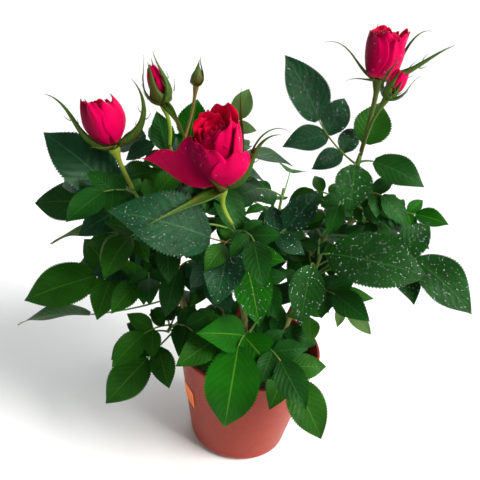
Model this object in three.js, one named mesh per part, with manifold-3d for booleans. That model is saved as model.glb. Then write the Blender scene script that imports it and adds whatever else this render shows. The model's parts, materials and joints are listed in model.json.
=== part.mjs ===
// A miniature rose bush in the pot it was grown in.
// Millimetres, +Z up. The origin is the middle of the pot's flat underside. +X runs to the right of
// someone standing in front of the plant, and +Y runs away from them.
//
// The plant is a few canes that rise from the compost. A cane is bare wood up to the place where its
// leafy shoot starts. Each leafy shoot is one solid: a green stem with compound leaves fused on. A
// flower is two solids: a stalk that swells into the hip and carries the sepals, and the petals on it.
import * as THREE from "three";
import { mergeVertices } from "three/addons/utils/BufferGeometryUtils.js";
import Module from "manifold-3d";

const wasm = await Module();
wasm.setup();

// ---- driving dimensions -------------------------------------------------------------------------

const gap = 0.3;

const pot = {
  rimRadius: 60,
  footRadius: 42,
  height: 94,
  wall: 1.8,
  lipWidth: 2.6,
  lipHeight: 3,
  cornerRadius: 7,
  floor: 3,
  notches: 6,
  notchDepth: 2.2,
  notchRadius: 7,
};

const compost = { level: 83.7 };

// A blank stick-on label on the pot's left side.
const label = { turn: 203, width: 16, top: 62, height: 18, thickness: 0.5, steps: 4 };

// Leaflet sizes as shares of its length, and the slim parts of a leaf in millimetres.
const leafShape = {
  broad: 0.6,
  thick: 0.02,
  thickestAt: 0.3,
  arch: 0.05,
  fold: 0.2,
  rootWidth: 2.2,
  stalkRadius: [1.0, 0.75],
  stalkSteps: 3,
  clearance: 1.1,
};

// Pairs of side leaflets, from the end of the leaf towards its foot: how far back from the end leaflet
// and how long they are, as shares of its length, and the angle that they stand out from the stalk.
const sidePairs = [
  { back: 0.24, size: 0.68, angle: 60 },
  { back: 0.56, size: 0.5, angle: 70 },
];

// Leaf faces turn to the light: the front of the plant to the front, the back to the sky.
const lightFrom = { front: [0.05, -0.72, 0.69], back: [0, -0.2, 0.98] };

const shootRadius = [1.9, 1.3];

// Limbs run from a foot to a tip, bowed sideways at the middle. A limb with a parent starts on it.
const canes = {
  cane_left: { foot: [-40, 4, 84], tip: [-73, -20, 177], bow: [4, -8, -6], radius: [3.2, 2.3] },
  cane_buds: { foot: [-20, 16, 84], tip: [-58, 12, 190], bow: [4, 4, -5], radius: [2.9, 2.1] },
  cane_centre: { foot: [-4, -6, 84], tip: [-12, -34, 165], bow: [2, -4, -4], radius: [3.1, 2.3] },
  cane_right: { foot: [18, 10, 84], tip: [40, -8, 192], bow: [2, -6, 0], radius: [3.2, 2.2] },
  cane_back_left: { foot: [-26, 26, 84], tip: [-52, 56, 160], bow: [3, -6, 4], radius: [2.8, 2.1] },
  cane_back: { foot: [2, 32, 84], tip: [10, 62, 156], bow: [0, -6, 4], radius: [2.9, 2.1] },
  cane_back_right: { foot: [28, 24, 84], tip: [58, 50, 150], bow: [-4, -4, 4], radius: [2.8, 2.1] },
};

// A cut-off spur: old wood that was pruned just above a bud.
const spur = { parent: "cane_left", at: 0.62, tip: [-84, -6, 190], bow: [3, 0, -3], radius: [2.1, 1.9] };

// Leafy shoots. A shoot goes on from its parent's tip, or leaves its side part of the way up.
// Each chosen leaf gives its place on the shoot, the heading (degrees from +X towards +Y) and the rise
// of its stalk at the foot and the end, the rise of its end leaflet, the stalk's reach and the end
// leaflet's length. The leaves in "grown" follow the seeded rule.
const shoots = {
  foliage_left_top: {
    parent: "cane_left", at: 1, tip: [-99, -20, 227], bow: [3, 0, -2], seed: 11,
    leaves: [
      { at: 0.62, head: [200, 170], rise: [40, 35, 33], reach: 32, blade: 64, pairs: 1 },
      { at: 0.45, head: [145, 170], rise: [20, -5, -7], reach: 48, blade: 58, pairs: 0 },
      { at: 0.3, head: [205, 190], rise: [20, -5, -12], reach: 40, blade: 40, pairs: 1, tilt: 50 },
      { at: 0.8, head: [20, 50], rise: [30, 35, 40], reach: 14, blade: 28, pairs: 1 },
    ],
    grown: { count: 4, from: 0.2, to: 0.95, firstHead: 100, reach: 34, blade: 36 },
  },
  foliage_left: {
    parent: "cane_left", at: 0.52, tip: [-86, -14, 156], bow: [-4, 0, 4], seed: 12,
    leaves: [
      { at: 0.95, head: [195, 200], rise: [15, -15, -18], reach: 40, blade: 56, pairs: 1 },
      { at: 0.15, head: [220, 190], rise: [-5, -8, -7], reach: 64, blade: 54, pairs: 0, tilt: 60 },
    ],
    grown: { count: 4, from: 0.3, to: 0.9, firstHead: 120, reach: 30, blade: 34 },
  },
  foliage_left_low: {
    parent: "cane_left", at: 0.26, tip: [-66, -26, 112], bow: [-3, 0, 4], seed: 13,
    leaves: [
      { at: 0.3, head: [255, 215], rise: [0, -45, -45], reach: 38, blade: 48, pairs: 1 },
      { at: 0.95, head: [185, 205], rise: [10, -40, -35], reach: 24, blade: 28, pairs: 1 },
    ],
    grown: { count: 3, from: 0.4, to: 0.9, firstHead: 160, reach: 30, blade: 32 },
  },
  foliage_buds: {
    parent: "cane_buds", at: 1, tip: [-79, 12, 252], bow: [2, 0, -2], seed: 14,
    leaves: [
      { at: 0.7, head: [85, 85], rise: [0, 50, 67], reach: 38, blade: 34, pairs: 1, broad: 0.75 },
      { at: 0.75, head: [180, 140], rise: [35, 65, 65], reach: 16, blade: 30, pairs: 1 },
      { at: 0.6, head: [20, 65], rise: [35, 48, 56], reach: 66, blade: 28, pairs: 1 },
    ],
    grown: { count: 4, from: 0.1, to: 0.75, firstHead: 40, reach: 36, blade: 36 },
  },
  foliage_inner: {
    parent: "cane_buds", at: 0.45, tip: [-54, -8, 172], bow: [0, 0, 0], seed: 25,
    leaves: [
      { at: 0.9, head: [230, 250], rise: [20, -20, -60], reach: 20, blade: 38, pairs: 1, broad: 0.5 },
    ],
    grown: { count: 4, from: 0.2, to: 0.98, firstHead: 220, reach: 30, blade: 34 },
  },
  foliage_centre: {
    parent: "cane_centre", at: 1, tip: [-25, -40, 218], bow: [3, 0, 0], seed: 15,
    leaves: [
      { at: 0.72, head: [255, 200], rise: [25, 20, 21], reach: 32, blade: 70, pairs: 1 },
      { at: 0.45, head: [255, 295], rise: [60, -5, -47], reach: 29, blade: 44, pairs: 1 },
      { at: 0.6, head: [10, 25], rise: [20, 40, 50], reach: 36, blade: 36, pairs: 1 },
    ],
    grown: { count: 4, from: 0.1, to: 0.9, firstHead: 150, reach: 34, blade: 36 },
  },
  foliage_front: {
    parent: "cane_centre", at: 0.36, tip: [-3, -50, 140], bow: [0, -3, -3], seed: 16,
    leaves: [
      { at: 0.8, head: [250, 260], rise: [50, -10, -72], reach: 31, blade: 64, pairs: 1 },
      { at: 0.2, head: [330, 320], rise: [20, -40, -45], reach: 50, blade: 48, pairs: 1 },
    ],
    grown: { count: 5, from: 0.2, to: 0.95, firstHead: 200, reach: 34, blade: 34 },
  },
  foliage_right: {
    parent: "cane_right", at: 0.68, tip: [40, -32, 200], bow: [0, -4, -4], seed: 17,
    leaves: [
      { at: 0.95, head: [235, 345], rise: [50, 20, 2], reach: 18, blade: 68, pairs: 0 },
      { at: 0.5, head: [360, 330], rise: [45, 10, -25], reach: 79, blade: 52, pairs: 1 },
      { at: 0.7, head: [240, 260], rise: [70, 0, -55], reach: 24, blade: 42, pairs: 0 },
    ],
    grown: { count: 3, from: 0.3, to: 0.9, firstHead: 310, reach: 34, blade: 36 },
  },
  foliage_right_low: {
    parent: "cane_right", at: 0.3, tip: [64, 0, 146], bow: [-2, 0, 3], seed: 18,
    leaves: [
      { at: 0.9, head: [30, 350], rise: [45, 10, 10], reach: 12, blade: 34, pairs: 1, broad: 0.4 },
      { at: 0.97, head: [320, 335], rise: [-15, -25, -30], reach: 14, blade: 26, pairs: 1, broad: 0.5 },
    ],
    grown: { count: 4, from: 0.2, to: 0.95, firstHead: 330, reach: 28, blade: 28 },
  },
  foliage_right_mid: {
    parent: "foliage_right_top", at: 0.25, tip: [68, -2, 228], bow: [2, 0, -3], seed: 19,
    leaves: [
      { at: 0.9, head: [350, 340], rise: [20, 0, 0], reach: 40, blade: 24, pairs: 2 },
    ],
    grown: { count: 3, from: 0.3, to: 0.95, firstHead: 20, reach: 24, blade: 24 },
  },
  foliage_right_top: {
    parent: "cane_right", at: 1, tip: [57, -12, 272], bow: [3, 0, -3], seed: 20,
    leaves: [
      { at: 0.9, head: [150, 170], rise: [20, 55, 56], reach: 42, blade: 50, pairs: 2 },
      { at: 0.97, head: [80, 60], rise: [10, 40, 68], reach: 15, blade: 31, pairs: 0, broad: 0.85 },
      { at: 0.86, head: [240, 270], rise: [50, 0, -58], reach: 23, blade: 32, pairs: 0, broad: 0.8 },
      { at: 0.92, head: [320, 340], rise: [40, 0, -12], reach: 12, blade: 38, pairs: 0 },
    ],
    grown: { count: 3, from: 0.1, to: 0.6, firstHead: 60, reach: 30, blade: 30 },
  },
  foliage_back_left: {
    parent: "cane_back_left", at: 1, tip: [-68, 76, 222], bow: [0, 0, 0], seed: 21,
    leaves: [],
    grown: { count: 8, from: 0.05, to: 0.98, firstHead: 130, reach: 42, blade: 42 },
  },
  foliage_back: {
    parent: "cane_back", at: 1, tip: [14, 80, 205], bow: [0, 0, 0], seed: 22,
    leaves: [],
    grown: { count: 8, from: 0.05, to: 0.98, firstHead: 80, reach: 42, blade: 42 },
  },
  foliage_back_right: {
    parent: "cane_back_right", at: 1, tip: [78, 66, 190], bow: [0, 0, 0], seed: 23,
    leaves: [],
    grown: { count: 8, from: 0.05, to: 0.98, firstHead: 40, reach: 42, blade: 42 },
  },
  foliage_back_low: {
    parent: "cane_back", at: 0.35, tip: [-6, 66, 122], bow: [0, 0, 4], seed: 24,
    leaves: [],
    grown: { count: 6, from: 0.1, to: 0.98, firstHead: 60, reach: 36, blade: 38 },
  },
};

// Flowers. The base is where the petals sit on the hip; lean and toward say how far the flower's own
// axis leans from upright, and to which heading. The petals spread out from the axis by three control
// radii, at foot, belly and rim. An outer petal may flare out at one side. A sepal leaves the rim of
// the hip at "around", and its three "out" angles say how far it points away from the flower's axis at
// its foot, middle and tip.
const flowers = {
  rose_left: {
    parent: "foliage_left_top", at: 1, base: [-114, -20, 258], lean: 24, toward: 180, hip: 4.6,
    heart: { spread: [4, 20, 13], height: 27, lobes: 3, turn: 30 },
    outer: [],
    sepals: [
      { around: 185, out: [65, 30, 80], length: 50, width: 6 },
      { around: 0, out: [85, 40, -15], length: 54, width: 6 },
      { around: 250, out: [75, 60, 70], length: 22, width: 5 },
      { around: 110, out: [65, 45, 40], length: 26, width: 5 },
      { around: 310, out: [80, 70, 90], length: 20, width: 5 },
    ],
  },
  rose_bud_tall: {
    parent: "foliage_buds", at: 1, base: [-86, 10, 285], lean: 22, toward: 180, hip: 3.6,
    heart: { spread: [2.5, 11.5, 2], height: 26, lobes: 2 },
    outer: [],
    sepals: [
      { around: 185, out: [75, -5, -5], length: 42, width: 5 },
      { around: 262, out: [70, -5, 0], length: 36, width: 6 },
      { around: 0, out: [75, -5, 15], length: 40, width: 5 },
      { around: 90, out: [75, 0, 25], length: 36, width: 5 },
      { around: 300, out: [95, 150, 165], length: 44, width: 3 },
    ],
  },
  rose_bud_green: {
    parent: "foliage_buds", at: 0.8, base: [-66, 40, 295], lean: 3, toward: 0, hip: 2.6,
    heart: { spread: [2, 7, 1], height: 12, lobes: 0 },
    outer: [],
    sepals: [
      { around: 10, out: [60, -20, 10], length: 24, width: 4.5 },
      { around: 130, out: [60, -20, -5], length: 21, width: 4.5 },
      { around: 250, out: [60, -20, -5], length: 22, width: 4.5 },
    ],
  },
  rose_main: {
    parent: "foliage_centre", at: 1, base: [-35, -40, 246], lean: 8, toward: 340, hip: 5.4,
    heart: { spread: [5, 26, 17], height: 44, lobes: 3, turn: 60 },
    outer: [
      { turn: 234, half: 60, spread: [5, 30, 27], height: 38, flare: 32 },
      { turn: 330, half: 60, spread: [4.5, 31, 24], height: 38 },
      { turn: 90, half: 60, spread: [4.5, 31, 24], height: 38 },
    ],
    sepals: [
      { around: 192, out: [112, 112, 130], length: 44, width: 7 },
      { around: 350, out: [80, 20, 100], length: 60, width: 7 },
      { around: 35, out: [75, 20, 140], length: 58, width: 5 },
      { around: 110, out: [75, 5, 5], length: 66, width: 6 },
      { around: 262, out: [95, 30, -5], length: 32, width: 5 },
    ],
  },
  rose_right: {
    parent: "foliage_right_top", at: 1, base: [60, -5, 319], lean: 5, toward: 0, hip: 4.8,
    heart: { spread: [4, 19, 14], height: 33, lobes: 3, turn: 270 },
    outer: [],
    sepals: [
      { around: 185, out: [72, 45, 120], length: 46, width: 4 },
      { around: 205, out: [90, 85, 120], length: 24, width: 4 },
      { around: 352, out: [80, 50, 60], length: 48, width: 6 },
      { around: 25, out: [70, 30, 110], length: 48, width: 4 },
      { around: 100, out: [75, 40, 40], length: 34, width: 5 },
    ],
  },
  rose_bud_right: {
    parent: "foliage_right_top", at: 0.9, base: [64, -31, 310], lean: 20, toward: 340, hip: 3.4,
    heart: { spread: [3, 12, 4], height: 21, lobes: 2 },
    outer: [],
    sepals: [
      { around: 225, out: [75, -5, -5], length: 28, width: 6 },
      { around: 345, out: [80, 10, 40], length: 30, width: 5 },
      { around: 100, out: [80, 0, 15], length: 28, width: 5 },
      { around: 160, out: [78, -5, 10], length: 30, width: 5 },
      { around: 288, out: [80, 0, 10], length: 24, width: 5 },
    ],
  },
};

const petalShape = { thick: 1.1, across: 4, along: 3, sides: 12, tipDrop: 0.22, seat: 0.6 };
const sepalShape = { thick: 0.9, steps: 3, twist: 30, footHeight: -2.4 };
const stalkRadius = [1.4, 1.7];
const hipLength = 13;

// ---- finishes -----------------------------------------------------------------------------------

const finish = (colour, roughness) =>
  new THREE.MeshStandardMaterial({ color: colour, roughness, metalness: 0 });
const finishes = {
  terracotta: finish("#b5594a", 0.45),
  compost: finish("#2a1a14", 0.95),
  label: finish("#f47a14", 0.5),
  bark: finish("#6f7a3c", 0.6),
  leaf: finish("#1f6b2c", 0.4),
  sepal: finish("#5f7a35", 0.55),
  petal: finish("#d8064f", 0.5),
};

// ---- small tools --------------------------------------------------------------------------------

const vec = (x, y, z) => new THREE.Vector3(x, y, z);
const up = vec(0, 0, 1);
const radians = THREE.MathUtils.degToRad;
const mix = THREE.MathUtils.lerp;

// The unit direction with a heading from +X towards +Y and a rise above the level, in degrees.
function direction(heading, rise) {
  const level = Math.cos(radians(rise));
  return vec(level * Math.cos(radians(heading)), level * Math.sin(radians(heading)), Math.sin(radians(rise)));
}

// Pseudo-random numbers from 0 to 1 that are the same for the same seed.
function makeDice(seed) {
  let state = seed * 7919 + 12345;
  return () => {
    state = (state * 1664525 + 1013904223) % 4294967296;
    return state / 4294967296;
  };
}

// ---- solids -------------------------------------------------------------------------------------

// A closed solid from corner points and triangles that face outwards.
function solidOf(corners, faces) {
  const vertProperties = new Float32Array(corners.flatMap((p) => [p.x, p.y, p.z]));
  const triVerts = new Uint32Array(faces.flat());
  return new wasm.Manifold(new wasm.Mesh({ numProp: 3, vertProperties, triVerts }));
}

function solidFrom(geometry) {
  const bare = geometry.clone();
  bare.deleteAttribute("normal");
  bare.deleteAttribute("uv");
  const merged = mergeVertices(bare);
  const vertProperties = new Float32Array(merged.attributes.position.array);
  const triVerts = new Uint32Array(merged.index.array);
  return new wasm.Manifold(new wasm.Mesh({ numProp: 3, vertProperties, triVerts }));
}

function geometryFrom(solid) {
  const mesh = solid.getMesh();
  const geometry = new THREE.BufferGeometry();
  geometry.setAttribute("position", new THREE.BufferAttribute(new Float32Array(mesh.vertProperties), 3));
  geometry.setIndex(new THREE.BufferAttribute(new Uint32Array(mesh.triVerts), 1));
  geometry.computeVertexNormals();
  return geometry;
}

const fuse = (solids) => solids.reduce((whole, next) => whole.add(next));

// The largest body of a solid, without loose scraps or sealed hollows.
function mainBody(solid) {
  const bodies = solid.decompose();
  return bodies.reduce((best, next) => (next.volume() > best.volume() ? next : best));
}

// A tube through a row of points, with its own radius at each point and flat ends.
function tube(points, radii, sides) {
  const corners = [];
  const last = points.length - 1;
  let side = null;
  points.forEach((point, i) => {
    const along = points[Math.min(i + 1, last)].clone().sub(points[Math.max(i - 1, 0)]).normalize();
    const start = side ?? (Math.abs(along.z) < 0.9 ? up : vec(1, 0, 0));
    side = start.clone().addScaledVector(along, -start.dot(along)).normalize();
    const other = along.clone().cross(side);
    for (let k = 0; k < sides; k += 1) {
      const turn = (2 * Math.PI * k) / sides;
      const rim = side.clone().multiplyScalar(Math.cos(turn)).addScaledVector(other, Math.sin(turn));
      corners.push(point.clone().addScaledVector(rim, radii[i]));
    }
  });
  const faces = [];
  for (let i = 0; i < last; i += 1) {
    for (let k = 0; k < sides; k += 1) {
      const a = i * sides + k;
      const b = i * sides + ((k + 1) % sides);
      faces.push([a, b, b + sides], [a, b + sides, a + sides]);
    }
  }
  for (let k = 1; k < sides - 1; k += 1) {
    faces.push([0, k + 1, k], [last * sides, last * sides + k, last * sides + k + 1]);
  }
  return solidOf(corners, faces);
}

// ---- limbs --------------------------------------------------------------------------------------

const limbSides = 6;
const limbSteps = 6;

// The curve from a start point to a tip, bowed sideways at its middle.
function bowedCurve(start, tip, bow) {
  const middle = start.clone().add(tip).multiplyScalar(0.5).addScaledVector(vec(...bow), 2);
  return new THREE.QuadraticBezierCurve3(start, middle, tip);
}

const tipRadius = (limb) => limb.radii[limb.radii.length - 1];

// A limb's curve, its points and its radii. It starts on the compost, or clear of its parent limb.
function layLimb({ parent, at, foot, tip, bow, radius, steps = limbSteps }) {
  const end = vec(...tip);
  let start = foot ? vec(...foot) : parent.curve.getPoint(at);
  if (parent) {
    const along = parent.curve.getTangent(at);
    const away = bowedCurve(start, end, bow).getTangent(0);
    const sine = Math.min(1, along.clone().cross(away).length());
    const cosine = Math.sqrt(1 - sine * sine);
    const atTip = at > 0.999;
    const parentRadius = mix(parent.radii[0], tipRadius(parent), at);
    const clear = atTip
      ? gap + 2 * radius[0] * sine
      : (parentRadius + 2 * gap + radius[0] * cosine) / sine;
    start = start.clone().addScaledVector(away, clear);
  }
  const curve = bowedCurve(start, end, bow);
  const points = curve.getPoints(steps);
  const radii = points.map((_, i) => mix(radius[0], radius[1], i / steps));
  return { curve, points, radii };
}

// ---- leaves -------------------------------------------------------------------------------------

// A leaflet's frame: forward runs from its root to its tip, and its face turns to the light.
function leafletFrame(root, forward, length, { light, tilt, broad }) {
  const side = forward.clone().cross(light).normalize().applyAxisAngle(forward, radians(tilt));
  const face = side.clone().cross(forward);
  return { root, forward, side, face, length, broad };
}

// A point of a leaflet, from shares of its length along and across it and a height off its face.
function leafletPoint(leaflet, along, across, height) {
  const { root, forward, side, face, length } = leaflet;
  const rise = leafShape.arch * 4 * along * (1 - along) + leafShape.fold * Math.abs(across);
  return root.clone()
    .addScaledVector(forward, along * length)
    .addScaledVector(side, across * length)
    .addScaledVector(face, rise * length + height);
}

// Shares along and across for the corners round a leaflet: right side, tip, left side.
const leafletOutline = [[0.24, 0.9], [0.6, 0.88], [1, 0], [0.6, -0.88], [0.24, -0.9]];

// The room that a blade takes up: the same outline, with clear space on both faces.
function bladeRoom(leaflet, room) {
  const wide = leaflet.broad / 2;
  const edge = (height) => [[0, 0], ...leafletOutline]
    .map(([along, across]) => leafletPoint(leaflet, along, across * wide, height));
  const top = edge(room);
  const bottom = edge(-room);
  const size = top.length;
  const corners = [...top, ...bottom];
  corners.push(leafletPoint(leaflet, leafShape.thickestAt, 0, room));
  corners.push(leafletPoint(leaflet, leafShape.thickestAt, 0, -room));
  const faces = top.flatMap((_, i) => {
    const next = (i + 1) % size;
    return [
      [i, next, 2 * size],
      [size + next, size + i, 2 * size + 1],
      [next, i, size + next],
      [size + next, i, size + i],
    ];
  });
  return solidOf(corners, faces);
}

// A compound leaf: its stalk as a function of the share along it, and its leaflets. Each leaflet has
// its place on the stalk and its hand: 0 for the end one, 1 and -1 for a pair.
function planLeaf(root, leaf, light) {
  const { head, rise, reach, blade, pairs, tilt = 0, broad = leafShape.broad } = leaf;
  const look = { light, tilt, broad };
  const fine = 12;
  const points = [root.clone()];
  const headingAt = (share) => mix(head[0], head[1], share);
  const riseAt = (share) => mix(rise[0], rise[1], share);
  for (let i = 0; i < fine; i += 1) {
    const share = (i + 0.5) / fine;
    points.push(points[i].clone().addScaledVector(direction(headingAt(share), riseAt(share)), reach / fine));
  }
  const stalkAt = (share) => {
    const whole = Math.min(fine - 1, Math.floor(share * fine));
    return points[whole].clone().lerp(points[whole + 1], share * fine - whole);
  };
  const endWay = direction(head[1], rise[2]);
  const leaflets = [{ ...leafletFrame(stalkAt(1), endWay, blade, look), place: 1, hand: 0 }];
  sidePairs.slice(0, pairs).forEach(({ back, size, angle }) => {
    const place = Math.max(0.3, 1 - (back * blade) / reach);
    [1, -1].forEach((hand) => {
      const along = direction(headingAt(place), riseAt(place));
      const level = along.clone().cross(light).normalize();
      const away = along.multiplyScalar(Math.cos(radians(angle)))
        .addScaledVector(level, hand * Math.sin(radians(angle)))
        .addScaledVector(up, -0.15)
        .normalize();
      leaflets.push({ ...leafletFrame(stalkAt(place), away, size * blade, look), place, hand });
    });
  });
  return { stalkAt, reach, light, leaflets };
}

// Rings of four corners (top, right, bottom, left) along the stalk, with two rings at each leaflet.
function stalkRings({ stalkAt, reach, light, leaflets }) {
  const half = leafShape.rootWidth / 2 / reach;
  const places = [...new Set(leaflets.slice(1).map(({ place }) => place))].sort();
  const shares = [0, ...places.flatMap((place) => [place - half, place + half]), 1];
  if (places.length < 2) shares.splice(1, 0, (places[0] ?? 1) / 2);
  const corners = shares.flatMap((share) => {
    const along = stalkAt(Math.min(1, share + half)).sub(stalkAt(Math.max(0, share - half))).normalize();
    const right = along.clone().cross(light).normalize();
    const top = right.clone().cross(along);
    const radius = mix(...leafShape.stalkRadius, share);
    const at = (way, size) => stalkAt(share).addScaledVector(way, size);
    return [at(top, radius), at(right, radius), at(top, -radius), at(right, -radius)];
  });
  return { shares, corners, half };
}

// The whole compound leaf as one closed solid. A leaflet has a sharp edge all round and is thickest on
// its midrib. It opens into the stalk at its root: it stands in place of the stalk's wall there.
function leafSolid(plan) {
  const { shares, corners, half } = stalkRings(plan);
  const [top, right, bottom, left] = [0, 1, 2, 3];
  const last = shares.length - 1;
  const open = new Set();
  const faces = [[right, top, left], [right, left, bottom]];
  plan.leaflets.forEach((leaflet) => {
    const { place, hand, length, broad } = leaflet;
    const near = shares.findIndex((share) => Math.abs(share - (place - half)) < 1e-6);
    const [a, b] = [4 * near, 4 * (near + 1)];
    const end = 4 * last;
    const roots = {
      0: [end + left, end + top, end + right],
      1: [b + right, b + top, a + top, a + right],
      [-1]: [a + left, a + top, b + top, b + left],
    };
    const overRoot = roots[hand];
    const underRoot = overRoot.map((corner) => (corner % 4 === top ? corner + bottom : corner));
    if (hand !== 0) open.add(`${near} ${hand > 0 ? top : bottom}`).add(`${near} ${hand > 0 ? right : left}`);
    const first = corners.length;
    leafletOutline.forEach(([along, across]) => {
      corners.push(leafletPoint(leaflet, along, (across * broad) / 2, 0));
    });
    const edge = leafletOutline.map((_, i) => first + i);
    const midrib = corners.length;
    const thick = (leafShape.thick * length) / 2;
    corners.push(leafletPoint(leaflet, leafShape.thickestAt, 0, thick));
    corners.push(leafletPoint(leaflet, leafShape.thickestAt, 0, -thick));
    const over = [...edge, ...overRoot];
    const under = [...edge, ...underRoot];
    over.forEach((corner, i) => faces.push([corner, over[(i + 1) % over.length], midrib]));
    under.forEach((corner, i) => faces.push([under[(i + 1) % under.length], corner, midrib + 1]));
  });
  for (let i = 0; i < last; i += 1) {
    for (let k = 0; k < 4; k += 1) {
      const next = (k + 1) % 4;
      const [a, b] = [4 * i + k, 4 * i + next];
      if (!open.has(`${i} ${k}`)) faces.push([a, b, b + 4], [a, b + 4, a + 4]);
    }
  }
  return solidOf(corners, faces);
}

// Everything that leaves have to stay clear of, each with a ball round it for a quick first look.
const taken = [];

function boundingBall(solid) {
  const { min, max } = solid.boundingBox();
  const low = vec(...min);
  const high = vec(...max);
  return { centre: low.clone().add(high).multiplyScalar(0.5), radius: low.distanceTo(high) / 2 };
}

function take(solid, owner) {
  taken.push({ solid, owner, ...boundingBall(solid) });
}

// Whether a shape touches nothing that is taken, apart from what belongs to one owner.
function isFree(solid, exceptOwner) {
  const ball = boundingBall(solid);
  return taken.every((other) => {
    if (exceptOwner && other.owner === exceptOwner) return true;
    if (ball.centre.distanceTo(other.centre) > ball.radius + other.radius) return true;
    return solid.intersect(other.solid).isEmpty();
  });
}

// Two leaflets of one leaf may meet only at their roots.
function crosses(one, other) {
  const beyondRoot = ({ root, forward, length, ...rest }) => {
    const skipped = 0.12 * length;
    return { ...rest, forward, root: root.clone().addScaledVector(forward, skipped), length: length - skipped };
  };
  return !bladeRoom(beyondRoot(one), 0.3).intersect(bladeRoom(beyondRoot(other), 0.3)).isEmpty();
}

// Grow one compound leaf on a shoot. Side leaflets that would touch something are left out, and so is
// the whole leaf where its stalk or its end leaflet would.
function growLeaf(shoot, name, leaf) {
  const plan = planLeaf(shoot.curve.getPoint(leaf.at), leaf, shoot.light);
  const room = leafShape.clearance;
  const stalkPoints = [0.25, 0.6, 0.95].map(plan.stalkAt);
  const stalkRoom = tube(stalkPoints, stalkPoints.map(() => leafShape.stalkRadius[1] + room), 4);
  if (!isFree(stalkRoom, `${name} stem`)) return false;
  const fitting = [];
  for (const leaflet of plan.leaflets) {
    const fits = isFree(bladeRoom(leaflet, room)) && !fitting.some((other) => crosses(leaflet, other));
    if (leaflet.hand === 0 && !fits) return false;
    if (fits) fitting.push(leaflet);
  }
  shoot.pieces.push(leafSolid({ ...plan, leaflets: fitting }));
  fitting.forEach((leaflet) => take(bladeRoom(leaflet, room), name));
  take(stalkRoom, name);
  return true;
}

// The seeded rule: leaves turn by the same angle from one to the next up the shoot, and the dice
// vary each one a little.
const turnPerLeaf = 144;
const secondTries = [0, 45, -45, 90];
function grownLeaves({ grown, seed }) {
  const dice = makeDice(seed);
  const vary = (middle, range) => middle + (dice() - 0.5) * range;
  return Array.from({ length: grown.count }, (_, i) => {
    const at = mix(grown.from, grown.to, grown.count > 1 ? i / (grown.count - 1) : 0);
    const heading = vary(grown.firstHead + turnPerLeaf * i, 40);
    const bend = vary(0, 40);
    const foot = vary(35, 30);
    const end = vary(-5, 40);
    const hang = vary(-20, 30);
    const size = vary(1, 0.3);
    const tilt = vary(0, 30);
    return {
      at,
      head: [heading, heading + bend],
      rise: [foot, end, end + hang],
      reach: grown.reach * size,
      blade: grown.blade * size,
      pairs: 2,
      tilt,
    };
  });
}

// ---- flowers ------------------------------------------------------------------------------------

// A smooth value through three control values, and one that passes through all three.
const bend3 = ([a, b, c], t) => (1 - t) ** 2 * a + 2 * t * (1 - t) * b + t * t * c;
const pass3 = ([a, b, c], t) => a * (1 - t) * (1 - 2 * t) + b * 4 * t * (1 - t) + c * t * (2 * t - 1);

// A flower's own directions: its axis, and the directions away from it at each turn round it.
function flowerFrame({ base, lean, toward }) {
  const axis = direction(toward, 90 - lean);
  const right = vec(1, 0, 0).addScaledVector(axis, -axis.x).normalize();
  const back = axis.clone().cross(right);
  const away = (turn) =>
    right.clone().multiplyScalar(Math.cos(radians(turn))).addScaledVector(back, Math.sin(radians(turn)));
  const at = (turn, radius, height) =>
    vec(...base).addScaledVector(axis, height).addScaledVector(away(turn), radius);
  return { axis, away, at };
}

// The heart of a flower: closely wrapped petals, with lobes round the rim and a hollow at the top.
function heartSolid(frame, { spread, height, lobes, turn = 0 }) {
  const { sides, seat } = petalShape;
  const rows = [0, 0.22, 0.45, 0.7, 0.9, 1].map((share) => [bend3(spread, share), share]);
  rows.push([0.6 * spread[2], 0.86]);
  const corners = rows.flatMap(([radius, share]) => Array.from({ length: sides }, (_, k) => {
    const around = (360 * k) / sides;
    const lobe = Math.cos(radians(lobes * (around - turn))) * share * share;
    return frame.at(around, radius * (1 + 0.12 * lobe), seat + height * share * (1 + 0.06 * lobe));
  }));
  const faces = [];
  for (let i = 0; i < rows.length - 1; i += 1) {
    for (let k = 0; k < sides; k += 1) {
      const a = i * sides + k;
      const b = i * sides + ((k + 1) % sides);
      faces.push([a, b, b + sides], [a, b + sides, a + sides]);
    }
  }
  const end = sides * (rows.length - 1);
  const hollow = corners.length;
  corners.push(frame.at(0, 0, seat + 0.62 * height));
  for (let k = 0; k < sides; k += 1) {
    faces.push([end + k, end + ((k + 1) % sides), hollow]);
    if (k > 0 && k < sides - 1) faces.push([0, k + 1, k]);
  }
  return solidOf(corners, faces);
}

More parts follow.
